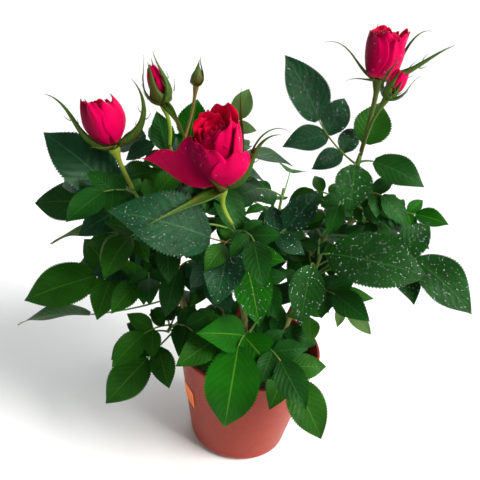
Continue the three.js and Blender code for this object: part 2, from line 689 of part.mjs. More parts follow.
// One petal: a curved plate that wraps part of the way round the axis.
function petalSolid(frame, ring, turn) {
  const { across, along, thick, tipDrop, seat } = petalShape;
  const spot = (u, v) => {
    const wrap = ring.half * bend3([0.55, 1.35, 0.7], v);
    const height = seat + ring.height * (v - tipDrop * u * u * v);
    const flare = (ring.flare ?? 0) * Math.max(0, -u) ** 1.2 * Math.sqrt(Math.max(0, v));
    return frame.at(turn + u * wrap, bend3(ring.spread, v) + flare, height - 0.5 * flare);
  };
  const outer = [];
  const inner = [];
  for (let j = 0; j <= along; j += 1) {
    for (let i = 0; i <= across; i += 1) {
      const u = (2 * i) / across - 1;
      const v = j / along;
      const nudge = 0.01;
      const acrossStep = spot(u + nudge, v).sub(spot(u - nudge, v));
      const alongStep = spot(u, v + nudge).sub(spot(u, v - nudge));
      const outward = acrossStep.cross(alongStep).normalize();
      outer.push(spot(u, v));
      inner.push(spot(u, v).addScaledVector(outward, -thick));
    }
  }
  const row = across + 1;
  const size = outer.length;
  const faces = [];
  for (let j = 0; j < along; j += 1) {
    for (let i = 0; i < across; i += 1) {
      const a = j * row + i;
      faces.push([a, a + 1, a + row + 1], [a, a + row + 1, a + row]);
      faces.push([size + a, size + a + row + 1, size + a + 1], [size + a, size + a + row, size + a + row + 1]);
    }
  }
  const rim = [];
  for (let i = 0; i < across; i += 1) rim.push(i);
  for (let j = 0; j < along; j += 1) rim.push(j * row + across);
  for (let i = across; i > 0; i -= 1) rim.push(along * row + i);
  for (let j = along; j > 0; j -= 1) rim.push(j * row);
  rim.forEach((a, i) => {
    const b = rim[(i + 1) % rim.length];
    faces.push([a, size + a, size + b], [a, size + b, b]);
  });
  return solidOf([...outer, ...inner], faces);
}

function petalsSolid(flower) {
  const frame = flowerFrame(flower);
  const petals = flower.outer.map((petal) => petalSolid(frame, petal, petal.turn));
  return mainBody(fuse([heartSolid(frame, flower.heart), ...petals]));
}

// One sepal: a tapering blade that leaves the rim of the hip and curls.
function sepalSolid(frame, flower, sepal, extra = 0) {
  const { steps, thick } = sepalShape;
  const radial = frame.away(sepal.around);
  const side = frame.axis.clone().cross(radial);
  const corners = [];
  let point = frame.at(sepal.around, 0.5 * flower.hip, sepalShape.footHeight);
  for (let i = 0; i <= steps; i += 1) {
    const share = i / steps;
    const turn = radians(pass3(sepal.out, share));
    const along = frame.axis.clone().multiplyScalar(Math.cos(turn)).addScaledVector(radial, Math.sin(turn));
    const edge = side.clone().applyAxisAngle(along, radians(sepalShape.twist));
    const face = along.clone().cross(edge);
    const wide = (sepal.width / 2) * (1 - share) ** 0.8 + 0.3 + extra;
    const deep = (thick / 2) * (1 - 0.5 * share) + extra;
    corners.push(point.clone().addScaledVector(edge, wide), point.clone().addScaledVector(face, deep));
    corners.push(point.clone().addScaledVector(edge, -wide), point.clone().addScaledVector(face, -deep));
    point = point.clone().addScaledVector(along, sepal.length / steps);
  }
  const faces = [[0, 2, 1], [0, 3, 2]];
  for (let i = 0; i < steps; i += 1) {
    for (let k = 0; k < 4; k += 1) {
      const a = 4 * i + k;
      const b = 4 * i + ((k + 1) % 4);
      faces.push([a, b, b + 4], [a, b + 4, a + 4]);
    }
  }
  const end = 4 * steps;
  faces.push([end, end + 1, end + 2], [end, end + 2, end + 3]);
  return solidOf(corners, faces);
}

// The stalk, which swells into the hip at its top.
function layStalk(flower, parent) {
  const { axis } = flowerFrame(flower);
  const seat = vec(...flower.base);
  const neck = seat.clone().addScaledVector(axis, -hipLength);
  const limb = layLimb({ parent, at: flower.at, tip: neck.toArray(), bow: [0, 0, 0], radius: stalkRadius, steps: 3 });
  const swell = [[0.35, 0.55], [0.7, 0.95], [1, 0.9]];
  const points = [...limb.points, ...swell.map(([share]) => neck.clone().lerp(seat, share))];
  const radii = [...limb.radii, ...swell.map(([, size]) => size * flower.hip)];
  return { curve: limb.curve, points, radii };
}

// ---- pot ----------------------------------------------------------------------------------------

const potSegments = 36;

// The pot wall's outer radius at a height, and its inner one.
function wallRadius(height) {
  const top = pot.rimRadius - (pot.lipWidth - pot.wall);
  return mix(pot.footRadius, top, (height - pot.cornerRadius) / (pot.height - pot.cornerRadius));
}
const innerRadius = (height) => wallRadius(height) - pot.wall;

function potSolid() {
  const { cornerRadius, floor, footRadius, height, lipHeight, lipWidth, rimRadius } = pot;
  const round = 0.6;
  const outline = [new THREE.Vector2(0, 0)];
  const cornerSteps = 4;
  for (let i = 0; i <= cornerSteps; i += 1) {
    const turn = (Math.PI / 2) * (i / cornerSteps);
    const radius = footRadius - cornerRadius * (1 - Math.sin(turn));
    outline.push(new THREE.Vector2(radius, cornerRadius * (1 - Math.cos(turn))));
  }
  outline.push(
    new THREE.Vector2(wallRadius(height - lipHeight), height - lipHeight),
    new THREE.Vector2(rimRadius, height - lipHeight + round),
    new THREE.Vector2(rimRadius, height - round),
    new THREE.Vector2(rimRadius - round, height),
    new THREE.Vector2(rimRadius - lipWidth + round, height),
    new THREE.Vector2(innerRadius(height - round), height - round),
    new THREE.Vector2(innerRadius(floor + cornerRadius), floor + cornerRadius),
    new THREE.Vector2(innerRadius(floor + cornerRadius) - cornerRadius, floor),
    new THREE.Vector2(0, floor),
  );
  const shell = new THREE.LatheGeometry(outline, potSegments).rotateX(Math.PI / 2);
  const cutters = Array.from({ length: pot.notches }, (_, i) => {
    const cutter = new THREE.CylinderGeometry(pot.notchRadius, pot.notchRadius, 12, 16);
    cutter.translate(0, -footRadius - 1, 0);
    cutter.translate(0, 0, pot.notchDepth - pot.notchRadius);
    cutter.rotateZ((2 * Math.PI * (i + 0.5)) / pot.notches - 0.25);
    return solidFrom(cutter);
  });
  return cutters.reduce((body, cutter) => body.subtract(cutter), solidFrom(shell));
}

function compostSolid() {
  const { floor, cornerRadius } = pot;
  const bottom = floor + gap;
  const outline = [
    new THREE.Vector2(0, bottom),
    new THREE.Vector2(innerRadius(floor + cornerRadius) - cornerRadius - gap, bottom),
    new THREE.Vector2(innerRadius(floor + cornerRadius) - gap, floor + cornerRadius + gap),
    new THREE.Vector2(innerRadius(compost.level) - gap, compost.level),
    new THREE.Vector2(0, compost.level),
  ];
  return solidFrom(new THREE.LatheGeometry(outline, potSegments).rotateX(Math.PI / 2));
}

function labelSolid() {
  const corners = [];
  const bottom = label.top - label.height;
  const spread = label.width / wallRadius(bottom);
  for (let i = 0; i <= label.steps; i += 1) {
    const turn = radians(label.turn) + spread * (i / label.steps - 0.5);
    [[bottom, 0], [bottom, label.thickness], [label.top, label.thickness], [label.top, 0]].forEach(([z, out]) => {
      const radius = wallRadius(z) + gap + out;
      corners.push(vec(radius * Math.cos(turn), radius * Math.sin(turn), z));
    });
  }
  const faces = [[0, 1, 2], [0, 2, 3]];
  for (let i = 0; i < label.steps; i += 1) {
    for (let k = 0; k < 4; k += 1) {
      const a = 4 * i + k;
      const b = 4 * i + ((k + 1) % 4);
      faces.push([a, b + 4, b], [a, a + 4, b + 4]);
    }
  }
  const end = 4 * label.steps;
  faces.push([end, end + 2, end + 1], [end, end + 3, end + 2]);
  return solidOf(corners, faces);
}

// ---- the whole plant ----------------------------------------------------------------------------

const model = new THREE.Group();

function addNode(name, solid, material) {
  const mesh = new THREE.Mesh(geometryFrom(solid), material);
  mesh.name = name;
  model.add(mesh);
}

// Canes and the spur first, then the shoots' stems and the flower stalks, which are the limbs that
// leaves keep clear of.
const limbs = {};
for (const [name, cane] of Object.entries(canes)) limbs[name] = layLimb(cane);
limbs.spur = layLimb({ ...spur, parent: limbs[spur.parent] });

// A shoot can leave another shoot, so each one waits for its parent.
const waiting = Object.entries(shoots);
while (waiting.length > 0) {
  const [name, shoot] = waiting.shift();
  if (limbs[shoot.parent]) {
    limbs[name] = layLimb({ ...shoot, parent: limbs[shoot.parent], radius: shootRadius, steps: 5 });
  } else {
    waiting.push([name, shoot]);
  }
}
const stalks = {};
for (const [name, flower] of Object.entries(flowers)) stalks[name] = layStalk(flower, limbs[flower.parent]);

const roomRadii = (radii) => radii.map((r) => r + leafShape.clearance);
const roomSides = 6;
for (const [name, limb] of Object.entries(limbs)) {
  take(tube(limb.points, roomRadii(limb.radii), roomSides), `${name} stem`);
}
for (const [name, flower] of Object.entries(flowers)) {
  const frame = flowerFrame(flower);
  const room = leafShape.clearance;
  take(tube(stalks[name].points, roomRadii(stalks[name].radii), roomSides), name);
  flower.sepals.forEach((sepal) => take(sepalSolid(frame, flower, sepal, room), name));
  const heights = [0, 0.25, 0.5, 0.75, 1.05];
  const points = heights.map((share) => frame.at(0, 0, share * flower.heart.height));
  const radii = heights.map((share) => 1.12 * bend3(flower.heart.spread, share) + room);
  take(tube(points, radii, petalShape.sides), name);
  flower.outer.forEach((petal) => {
    take(petalSolid(frame, { ...petal, height: petal.height + room }, petal.turn), name);
    take(petalSolid(frame, { ...petal, height: petal.height - room }, petal.turn), name);
  });
}
const potRoom = [vec(0, 0, 0), vec(0, 0, pot.height + leafShape.clearance)];
take(tube(potRoom, roomRadii([pot.footRadius, pot.rimRadius]), 24), "pot");

// The chosen leaves of every shoot grow before any that follow the rule.
const grown = {};
for (const [name, limb] of Object.entries(limbs)) {
  if (shoots[name]) {
    const light = vec(...(name.includes("back") ? lightFrom.back : lightFrom.front)).normalize();
    grown[name] = { curve: limb.curve, light, pieces: [tube(limb.points, limb.radii, 5)] };
  }
}
for (const [name, shoot] of Object.entries(shoots)) {
  shoot.leaves.forEach((leaf) => growLeaf(grown[name], name, leaf));
}
for (const [name, shoot] of Object.entries(shoots)) {
  grownLeaves(shoot).forEach((leaf) => {
    const turned = (turn) => ({ ...leaf, head: leaf.head.map((heading) => heading + turn) });
    secondTries.some((turn) => growLeaf(grown[name], name, turned(turn)));
  });
}

addNode("pot", potSolid(), finishes.terracotta);
addNode("label", labelSolid(), finishes.label);
addNode("compost", compostSolid(), finishes.compost);

// A cane's foot is cut flat where it stands on the compost.
const ground = solidFrom(new THREE.BoxGeometry(300, 300, 60).translate(0, 0, compost.level + gap - 30));
for (const name of Object.keys(canes)) {
  const { points, radii } = limbs[name];
  const below = points[0].clone().addScaledVector(points[0].clone().sub(points[1]).normalize(), 4);
  const whole = tube([below, ...points], [radii[0], ...radii], limbSides);
  addNode(name, whole.subtract(ground), finishes.bark);
}
addNode("spur", tube(limbs.spur.points, limbs.spur.radii, limbSides), finishes.bark);
for (const name of Object.keys(shoots)) addNode(name, mainBody(fuse(grown[name].pieces)), finishes.leaf);
for (const [name, flower] of Object.entries(flowers)) {
  const frame = flowerFrame(flower);
  const sepals = flower.sepals.map((sepal) => sepalSolid(frame, flower, sepal));
  const parts = [tube(stalks[name].points, stalks[name].radii, 6), ...sepals];
  if (name.includes("green")) {
    parts.push(heartSolid(frame, flower.heart).translate(frame.axis.clone().multiplyScalar(-1).toArray()));
  } else {
    addNode(`${name}_petals`, petalsSolid(flower), finishes.petal);
  }
  addNode(`${name}_stalk`, mainBody(fuse(parts)), finishes.sepal);
}

export default model;
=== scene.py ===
import json
import math
import bpy
from mathutils import Matrix, Vector, noise
from mathutils.bvhtree import BVHTree
from mathutils.kdtree import KDTree

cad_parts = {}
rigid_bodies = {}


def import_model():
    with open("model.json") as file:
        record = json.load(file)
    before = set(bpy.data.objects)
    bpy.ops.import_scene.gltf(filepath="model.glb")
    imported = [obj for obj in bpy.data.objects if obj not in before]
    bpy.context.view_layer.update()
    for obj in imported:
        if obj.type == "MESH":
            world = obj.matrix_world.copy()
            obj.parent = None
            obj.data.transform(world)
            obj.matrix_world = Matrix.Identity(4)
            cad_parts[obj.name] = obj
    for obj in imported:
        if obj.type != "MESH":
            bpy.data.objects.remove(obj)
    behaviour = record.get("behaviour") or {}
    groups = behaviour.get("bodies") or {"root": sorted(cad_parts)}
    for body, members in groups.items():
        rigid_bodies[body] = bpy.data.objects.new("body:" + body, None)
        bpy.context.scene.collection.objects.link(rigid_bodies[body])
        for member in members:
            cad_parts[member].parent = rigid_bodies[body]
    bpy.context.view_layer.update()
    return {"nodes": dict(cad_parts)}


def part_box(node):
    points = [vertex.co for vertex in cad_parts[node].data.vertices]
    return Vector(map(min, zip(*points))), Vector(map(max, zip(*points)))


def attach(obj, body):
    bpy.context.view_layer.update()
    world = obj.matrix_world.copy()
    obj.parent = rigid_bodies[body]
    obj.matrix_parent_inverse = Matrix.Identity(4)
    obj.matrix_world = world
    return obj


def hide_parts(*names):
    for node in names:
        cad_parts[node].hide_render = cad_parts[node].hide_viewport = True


# A miniature rose bush in its pot. Sizes are in millimetres and are turned into metres when a piece is
# made. The plant grows by the same rule as its frame, and the frame says which leaves found room.
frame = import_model()
mm = 0.001
up = Vector((0, 0, 1))


# small tools
def mix(a, b, share):
    return a + (b - a) * share


def direction(heading, rise):
    level = math.cos(math.radians(rise))
    return Vector((level * math.cos(math.radians(heading)), level * math.sin(math.radians(heading)),
                   math.sin(math.radians(rise))))


def makeDice(seed):
    state = [seed * 7919 + 12345]

    def roll():
        state[0] = (state[0] * 1664525 + 1013904223) % 4294967296
        return state[0] / 4294967296
    return roll


def bend3(values, t):  # pulled towards the middle value
    a, b, c = values
    return (1 - t) ** 2 * a + 2 * t * (1 - t) * b + t * t * c


def pass3(values, t):  # through all three values
    a, b, c = values
    return a * (1 - t) * (1 - 2 * t) + b * 4 * t * (1 - t) + c * t * (2 * t - 1)


def smoothStep(low, high, value):
    share = min(1, max(0, (value - low) / (high - low)))
    return share * share * (3 - 2 * share)


# meshes: a bag collects corners and faces until it is made a piece
def newBag():
    return {"corners": [], "faces": [], "slots": [], "maps": [], "shades": []}


def addFaces(bag, corners, faces, slot=0, maps=None, shades=None):
    first = len(bag["corners"])
    bag["corners"] += corners
    bag["maps"] += maps or [(0.5, 0.5)] * len(corners)
    bag["shades"] += shades or [0.0] * len(corners)
    bag["faces"] += [tuple(first + k for k in face) for face in faces]
    bag["slots"] += [slot] * len(faces)


def skin(bag, rings, slot=0):  # a closed skin over a row of rings
    size = len(rings[0])
    corners = [corner for ring in rings for corner in ring]
    faces = [tuple(reversed(range(size)))]
    for i in range(len(rings) - 1):
        for k in range(size):
            a, b = i * size + k, i * size + (k + 1) % size
            faces.append((a, b, b + size, a + size))
    faces.append(tuple((len(rings) - 1) * size + k for k in range(size)))
    addFaces(bag, corners, faces, slot)


def tubeRings(points, radii, sides, relief=None):
    rings = []
    side = None
    last = len(points) - 1
    for i, point in enumerate(points):
        along = (points[min(i + 1, last)] - points[max(i - 1, 0)]).normalized()
        start = side or (up if abs(along.z) < 0.9 else Vector((1, 0, 0)))
        side = (start - along * start.dot(along)).normalized()
        other = along.cross(side)
        ring = []
        for k in range(sides):
            turn = 2 * math.pi * k / sides
            way = side * math.cos(turn) + other * math.sin(turn)
            grow = relief(point + way * radii[i]) if relief else 0
            ring.append(point + way * (radii[i] + grow))
        rings.append(ring)
    return rings


def makePiece(name, bag, materials, sharp=None):
    mesh = bpy.data.meshes.new(name)
    mesh.from_pydata([corner * mm for corner in bag["corners"]], [], bag["faces"])
    for material in materials:
        mesh.materials.append(material)
    mesh.polygons.foreach_set("material_index", bag["slots"])
    mesh.polygons.foreach_set("use_smooth", [True] * len(mesh.polygons))
    layer = mesh.uv_layers.new(name="spread")
    loops = [0] * len(mesh.loops)
    mesh.loops.foreach_get("vertex_index", loops)
    layer.data.foreach_set("uv", [value for k in loops for value in bag["maps"][k]])
    # the painted shade on the petals' corners is kept as a mesh attribute for the petal material
    if any(bag["shades"]):
        mesh.attributes.new("painted_shade_mask", "FLOAT", "POINT").data.foreach_set("value", bag["shades"])
    if sharp:
        mesh.set_sharp_from_angle(angle=math.radians(sharp))
    mesh.validate()
    piece = bpy.data.objects.new(name, mesh)
    bpy.context.scene.collection.objects.link(piece)
    return piece


def bakeModifiers(piece):  # what the modifiers make becomes the piece's own mesh
    bpy.context.view_layer.update()
    ready = bpy.context.evaluated_depsgraph_get()
    made = bpy.data.meshes.new_from_object(piece.evaluated_get(ready), preserve_all_data_layers=True,
                                           depsgraph=ready)
    old = piece.data
    piece.modifiers.clear()
    piece.data = made
    bpy.data.meshes.remove(old)


def finishPiece(piece, nodes):
    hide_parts(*nodes)
    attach(piece, "root")


# materials
def newMaterial(name, colour, roughness):
    material = bpy.data.materials.new(name)
    material.use_nodes = True
    nodes = material.node_tree.nodes
    shader = nodes["Principled BSDF"]
    shader.inputs["Base Color"].default_value = (*colour, 1)
    shader.inputs["Roughness"].default_value = roughness
    return material, nodes, material.node_tree.links, shader


def addNode(nodes, kind, **settings):
    node = nodes.new(kind)
    for key, value in settings.items():
        setattr(node, key, value)
    return node


def mixColour(nodes, links, share, first, second):
    node = addNode(nodes, "ShaderNodeMix", data_type="RGBA")
    for socket, value in ((node.inputs[0], share), (node.inputs[6], first), (node.inputs[7], second)):
        if isinstance(value, bpy.types.NodeSocket):
            links.new(value, socket)
        else:
            socket.default_value = value
    return node.outputs[2]


def sums(nodes, links, operation, *values):
    node = addNode(nodes, "ShaderNodeMath", operation=operation)
    for socket, value in zip(node.inputs, values):
        if isinstance(value, bpy.types.NodeSocket):
            links.new(value, socket)
        else:
            socket.default_value = value
    return node.outputs[0]


def rangeOf(nodes, links, value, fromLow, fromHigh, toLow, toHigh):
    node = addNode(nodes, "ShaderNodeMapRange", interpolation_type="SMOOTHSTEP")
    links.new(value, node.inputs["Value"])
    for key, number in (("From Min", fromLow), ("From Max", fromHigh), ("To Min", toLow), ("To Max", toHigh)):
        node.inputs[key].default_value = number
    return node.outputs["Result"]


def newGroup(name, inputs, outputs):
    group = bpy.data.node_groups.new(name, "ShaderNodeTree")
    for socketName, kind, value in inputs:
        socket = group.interface.new_socket(socketName, in_out="INPUT", socket_type=kind)
        if value is not None:
            socket.default_value = value
    for socketName, kind in outputs:
        group.interface.new_socket(socketName, in_out="OUTPUT", socket_type=kind)
    groupIn, groupOut = group.nodes.new("NodeGroupInput"), group.nodes.new("NodeGroupOutput")
    return group, group.nodes, group.links, groupIn, groupOut


def useGroup(nodes, links, group, **values):
    node = addNode(nodes, "ShaderNodeGroup", node_tree=group)
    for key, value in values.items():
        socket = node.inputs[key]
        if isinstance(value, bpy.types.NodeSocket):
            links.new(value, socket)
        else:
            socket.default_value = value
    return node.outputs


# Soft blotches in object space, with finer ones in them.
mottle, gNodes, gLinks, gIn, gOut = newGroup(
    "mottle",
    [("Place", "NodeSocketVector", None), ("Scale", "NodeSocketFloat", 60),
     ("Contrast", "NodeSocketFloat", 0.5)],
    [("Blotches", "NodeSocketFloat"), ("Grain", "NodeSocketFloat")])
coarse = addNode(gNodes, "ShaderNodeTexNoise")
coarse.inputs["Detail"].default_value = 3
gLinks.new(gIn.outputs["Place"], coarse.inputs["Vector"])
gLinks.new(gIn.outputs["Scale"], coarse.inputs["Scale"])
fine = addNode(gNodes, "ShaderNodeTexNoise")
fine.inputs["Detail"].default_value = 2
gLinks.new(gIn.outputs["Place"], fine.inputs["Vector"])
gLinks.new(sums(gNodes, gLinks, "MULTIPLY", gIn.outputs["Scale"], 9), fine.inputs["Scale"])
centred = sums(gNodes, gLinks, "SUBTRACT", coarse.outputs["Fac"], 0.5)
spreadOut = sums(gNodes, gLinks, "MULTIPLY", centred,
                 sums(gNodes, gLinks, "MULTIPLY", gIn.outputs["Contrast"], 4))
clamped = addNode(gNodes, "ShaderNodeClamp")
gLinks.new(sums(gNodes, gLinks, "ADD", spreadOut, 0.5), clamped.inputs["Value"])
gLinks.new(clamped.outputs["Result"], gOut.inputs["Blotches"])
gLinks.new(fine.outputs["Fac"], gOut.inputs["Grain"])

# A leaf's midrib and side veins, drawn on its own map: across it and along it, both from 0 to 1.
veinLines, gNodes, gLinks, gIn, gOut = newGroup(
    "veinLines",
    [("Map", "NodeSocketVector", None), ("Pairs", "NodeSocketFloat", 8), ("Slant", "NodeSocketFloat", 0.3)],
    [("Veins", "NodeSocketFloat"), ("Midrib", "NodeSocketFloat"), ("Relief", "NodeSocketFloat")])
parts = addNode(gNodes, "ShaderNodeSeparateXYZ")
gLinks.new(gIn.outputs["Map"], parts.inputs["Vector"])
fromMiddle = sums(gNodes, gLinks, "ABSOLUTE", sums(gNodes, gLinks, "SUBTRACT", parts.outputs["X"], 0.5))
across = sums(gNodes, gLinks, "MULTIPLY", fromMiddle, 2)
bowed = sums(gNodes, gLinks, "POWER", across, 1.25)
lag = sums(gNodes, gLinks, "MULTIPLY", bowed, gIn.outputs["Slant"])
place = sums(gNodes, gLinks, "MULTIPLY", sums(gNodes, gLinks, "SUBTRACT", parts.outputs["Y"], lag),
             gIn.outputs["Pairs"])
swing = sums(gNodes, gLinks, "PINGPONG", place, 0.5)
sideVein = rangeOf(gNodes, gLinks, swing, 0.0, 0.07, 1, 0)
faded = sums(gNodes, gLinks, "MULTIPLY", sideVein, rangeOf(gNodes, gLinks, across, 0.45, 1.0, 1, 0.15))
midrib = rangeOf(gNodes, gLinks, across, 0.012, 0.05, 1, 0)
gLinks.new(faded, gOut.inputs["Veins"])
gLinks.new(midrib, gOut.inputs["Midrib"])
puffed = rangeOf(gNodes, gLinks, swing, 0.0, 0.5, 0, 1)
gLinks.new(sums(gNodes, gLinks, "SUBTRACT", puffed, sums(gNodes, gLinks, "MULTIPLY", midrib, 0.8)),
           gOut.inputs["Relief"])


def bumpInto(nodes, links, shader, height, strength, distance):
    bump = addNode(nodes, "ShaderNodeBump")
    bump.inputs["Strength"].default_value = strength
    bump.inputs["Distance"].default_value = distance
    links.new(height, bump.inputs["Height"])
    links.new(bump.outputs["Normal"], shader.inputs["Normal"])


def leafMaterial(name, look):
    material, nodes, links, shader = newMaterial(name, look["colour"], look["roughness"])
    place = addNode(nodes, "ShaderNodeTexCoord")
    blotch = useGroup(nodes, links, mottle, Place=place.outputs["Object"], Scale=look["blotchScale"],
                      Contrast=0.6)
    veins = useGroup(nodes, links, veinLines, Map=place.outputs["UV"], Pairs=look["veinPairs"], Slant=0.3)
    deep = (*(look["depth"] * part for part in look["colour"]), 1)
    upper = mixColour(nodes, links, blotch["Blotches"], deep, (*look["colour"], 1))
    upper = mixColour(nodes, links, sums(nodes, links, "MULTIPLY", veins["Veins"], look["veinShow"]), upper,
                      (*look["veinColour"], 1))
    upper = mixColour(nodes, links, sums(nodes, links, "MULTIPLY", veins["Midrib"], look["ribShow"]), upper,
                      (*look["ribColour"], 1))
    under = mixColour(nodes, links, veins["Veins"], (*look["under"], 1),
                      (*(1.35 * part for part in look["under"]), 1))
    facing = addNode(nodes, "ShaderNodeNewGeometry")
    links.new(mixColour(nodes, links, facing.outputs["Backfacing"], upper, under),
              shader.inputs["Base Color"])
    links.new(rangeOf(nodes, links, blotch["Grain"], 0.3, 0.7, look["roughness"] - 0.07,
                      look["roughness"] + 0.1),
              shader.inputs["Roughness"])
    height = sums(nodes, links, "ADD", veins["Relief"], sums(nodes, links, "MULTIPLY", blotch["Grain"], 0.6))
    bumpInto(nodes, links, shader, height, look["bump"], 0.0006)
    shader.inputs["Specular IOR Level"].default_value = look["shine"]
    shader.inputs["Specular Tint"].default_value = (*look["glint"], 1)
    if look["wet"]:  # a dew of fine drops
        cells = addNode(nodes, "ShaderNodeTexVoronoi")
        cells.inputs["Scale"].default_value = look["dewScale"]
        links.new(place.outputs["Object"], cells.inputs["Vector"])
        beads = rangeOf(nodes, links, cells.outputs["Distance"], 0.1, 0.42, 1, 0)
        links.new(sums(nodes, links, "MULTIPLY", beads, look["wet"]), shader.inputs["Coat Weight"])
        domes = addNode(nodes, "ShaderNodeBump")
        domes.inputs["Strength"].default_value = 0.8
        domes.inputs["Distance"].default_value = 0.0006
        links.new(beads, domes.inputs["Height"])
        links.new(domes.outputs["Normal"], shader.inputs["Coat Normal"])
        shader.inputs["Coat Roughness"].default_value = 0.06
    return material


leafLooks = {
    "dark": {"colour": (0.006, 0.052, 0.004), "veinColour": (0.018, 0.090, 0.010),
             "ribColour": (0.04, 0.13, 0.02),
             "under": (0.05, 0.11, 0.03), "depth": 0.45, "roughness": 0.5, "shine": 0.25, "wet": 0,
             "bump": 0.2,
             "glint": (0.3, 0.7, 0.3), "blotchScale": 45, "veinPairs": 8, "veinShow": 0.25, "ribShow": 0.4},
    "mid": {"colour": (0.013, 0.082, 0.004), "veinColour": (0.03, 0.15, 0.010),
            "ribColour": (0.07, 0.2, 0.02),
            "under": (0.07, 0.14, 0.03), "depth": 0.5, "roughness": 0.5, "shine": 0.25, "wet": 0, "bump": 0.2,
            "glint": (0.35, 0.7, 0.25), "blotchScale": 45, "veinPairs": 9, "veinShow": 0.25, "ribShow": 0.4},
    "bright": {"colour": (0.005, 0.085, 0.001), "veinColour": (0.02, 0.14, 0.004),
               "ribColour": (0.11, 0.26, 0.02),
               "under": (0.08, 0.19, 0.03), "depth": 0.5, "roughness": 0.5, "shine": 0.2, "wet": 0,
               "bump": 0.22,
               "glint": (0.25, 0.7, 0.2), "blotchScale": 40, "veinPairs": 10, "veinShow": 0.3,
               "ribShow": 0.45},
    # a dark leaf green, its own colour, with a bluish cast painted in for the sheen that sky reflection lays
    # on leaves; its shine and glint are real reflection
    "blue_sheen": {"colour": (0.003, 0.042, 0.011), "veinColour": (0.010, 0.068, 0.020),
             "ribColour": (0.04, 0.13, 0.04),
             "under": (0.07, 0.14, 0.06), "depth": 0.45, "roughness": 0.42, "shine": 0.35, "wet": 0,
             "bump": 0.22,
             "glint": (0.5, 0.8, 0.55), "blotchScale": 60, "veinPairs": 8, "veinShow": 0.25, "ribShow": 0.4},
    "pale": {"colour": (0.065, 0.135, 0.03), "veinColour": (0.10, 0.18, 0.045),
             "ribColour": (0.15, 0.24, 0.06),
             "under": (0.09, 0.17, 0.05), "depth": 0.75, "roughness": 0.55, "shine": 0.2, "wet": 0,
             "bump": 0.15,
             "glint": (0.6, 0.8, 0.5), "blotchScale": 50, "veinPairs": 9, "veinShow": 0.25, "ribShow": 0.4},
}
for dryName, wetLook in (("dark", {"roughness": 0.5, "shine": 0.2, "wet": 0.3, "dewScale": 520}),
                         ("bright", {"roughness": 0.5, "shine": 0.2, "wet": 0.3, "dewScale": 560}),
                         ("blue_sheen", {"roughness": 0.5, "shine": 0.2, "wet": 0.35, "dewScale": 600})):
    leafLooks["wet_" + dryName] = dict(leafLooks[dryName], **wetLook)
leafMaterials = {name: leafMaterial(f"leaf_{name}", look) for name, look in leafLooks.items()}


def stemMaterial(name, look):  # soft green stems, flushed with red in places
    material, nodes, links, shader = newMaterial(name, look["colour"], look["roughness"])
    place = addNode(nodes, "ShaderNodeTexCoord")
    stretched = addNode(nodes, "ShaderNodeMapping")
    stretched.inputs["Scale"].default_value = look["stretch"]
    links.new(place.outputs["Object"], stretched.inputs["Vector"])
    blotch = useGroup(nodes, links, mottle, Place=stretched.outputs["Vector"], Scale=look["scale"],
                      Contrast=0.8)
    flushed = mixColour(nodes, links,
                        rangeOf(nodes, links, blotch["Blotches"], 0.35, 0.95, 0, look["flushShare"]),
                        (*look["colour"], 1), (*look["flush"], 1))
    speckled = mixColour(nodes, links, rangeOf(nodes, links, blotch["Grain"], 0.35, 0.75, 0, 0.55), flushed,
                         (*look["deep"], 1))
    links.new(speckled, shader.inputs["Base Color"])
    bumpInto(nodes, links, shader, blotch["Grain"], look["bump"], 0.0006)
    shader.inputs["Specular IOR Level"].default_value = 0.3
    shader.inputs["Specular Tint"].default_value = (0.75, 0.95, 0.5, 1)
    return material


stemLooks = {
    "darkStalk": {"colour": (0.045, 0.085, 0.007), "flush": (0.08, 0.04, 0.01), "flushShare": 0.6,
                  "deep": (0.02, 0.045, 0.006), "roughness": 0.45, "scale": 30, "stretch": (1, 1, 0.25),
                  "bump": 0.25},
    "redStalk": {"colour": (0.16, 0.11, 0.02), "flush": (0.2, 0.05, 0.02), "flushShare": 0.8,
                 "deep": (0.07, 0.07, 0.012), "roughness": 0.45, "scale": 30, "stretch": (1, 1, 0.25),
                 "bump": 0.25},
    "stalk": {"colour": (0.20, 0.30, 0.02), "flush": (0.20, 0.13, 0.02), "flushShare": 0.5,
              "deep": (0.07, 0.16, 0.02),
              "roughness": 0.42, "scale": 30, "stretch": (1, 1, 0.25), "bump": 0.25},
    "twig": {"colour": (0.09, 0.20, 0.03), "flush": (0.22, 0.06, 0.02), "flushShare": 0.7,
             "deep": (0.05, 0.10, 0.02),
             "roughness": 0.5, "scale": 35, "stretch": (1, 1, 0.5), "bump": 0.3},
    "sepal": {"colour": (0.036, 0.085, 0.006), "flush": (0.09, 0.036, 0.008), "flushShare": 0.7,
              "deep": (0.012, 0.04, 0.005), "roughness": 0.5, "scale": 70, "stretch": (1, 1, 0.4),
              "bump": 0.35},
    "bark": {"colour": (0.17, 0.20, 0.05), "flush": (0.16, 0.10, 0.05), "flushShare": 0.9,
             "deep": (0.06, 0.05, 0.025),
             "roughness": 0.7, "scale": 40, "stretch": (1, 1, 0.2), "bump": 0.6},
}
stemMaterials = {name: stemMaterial(name + "_green" if name != "bark" else name, look)
                 for name, look in stemLooks.items()}


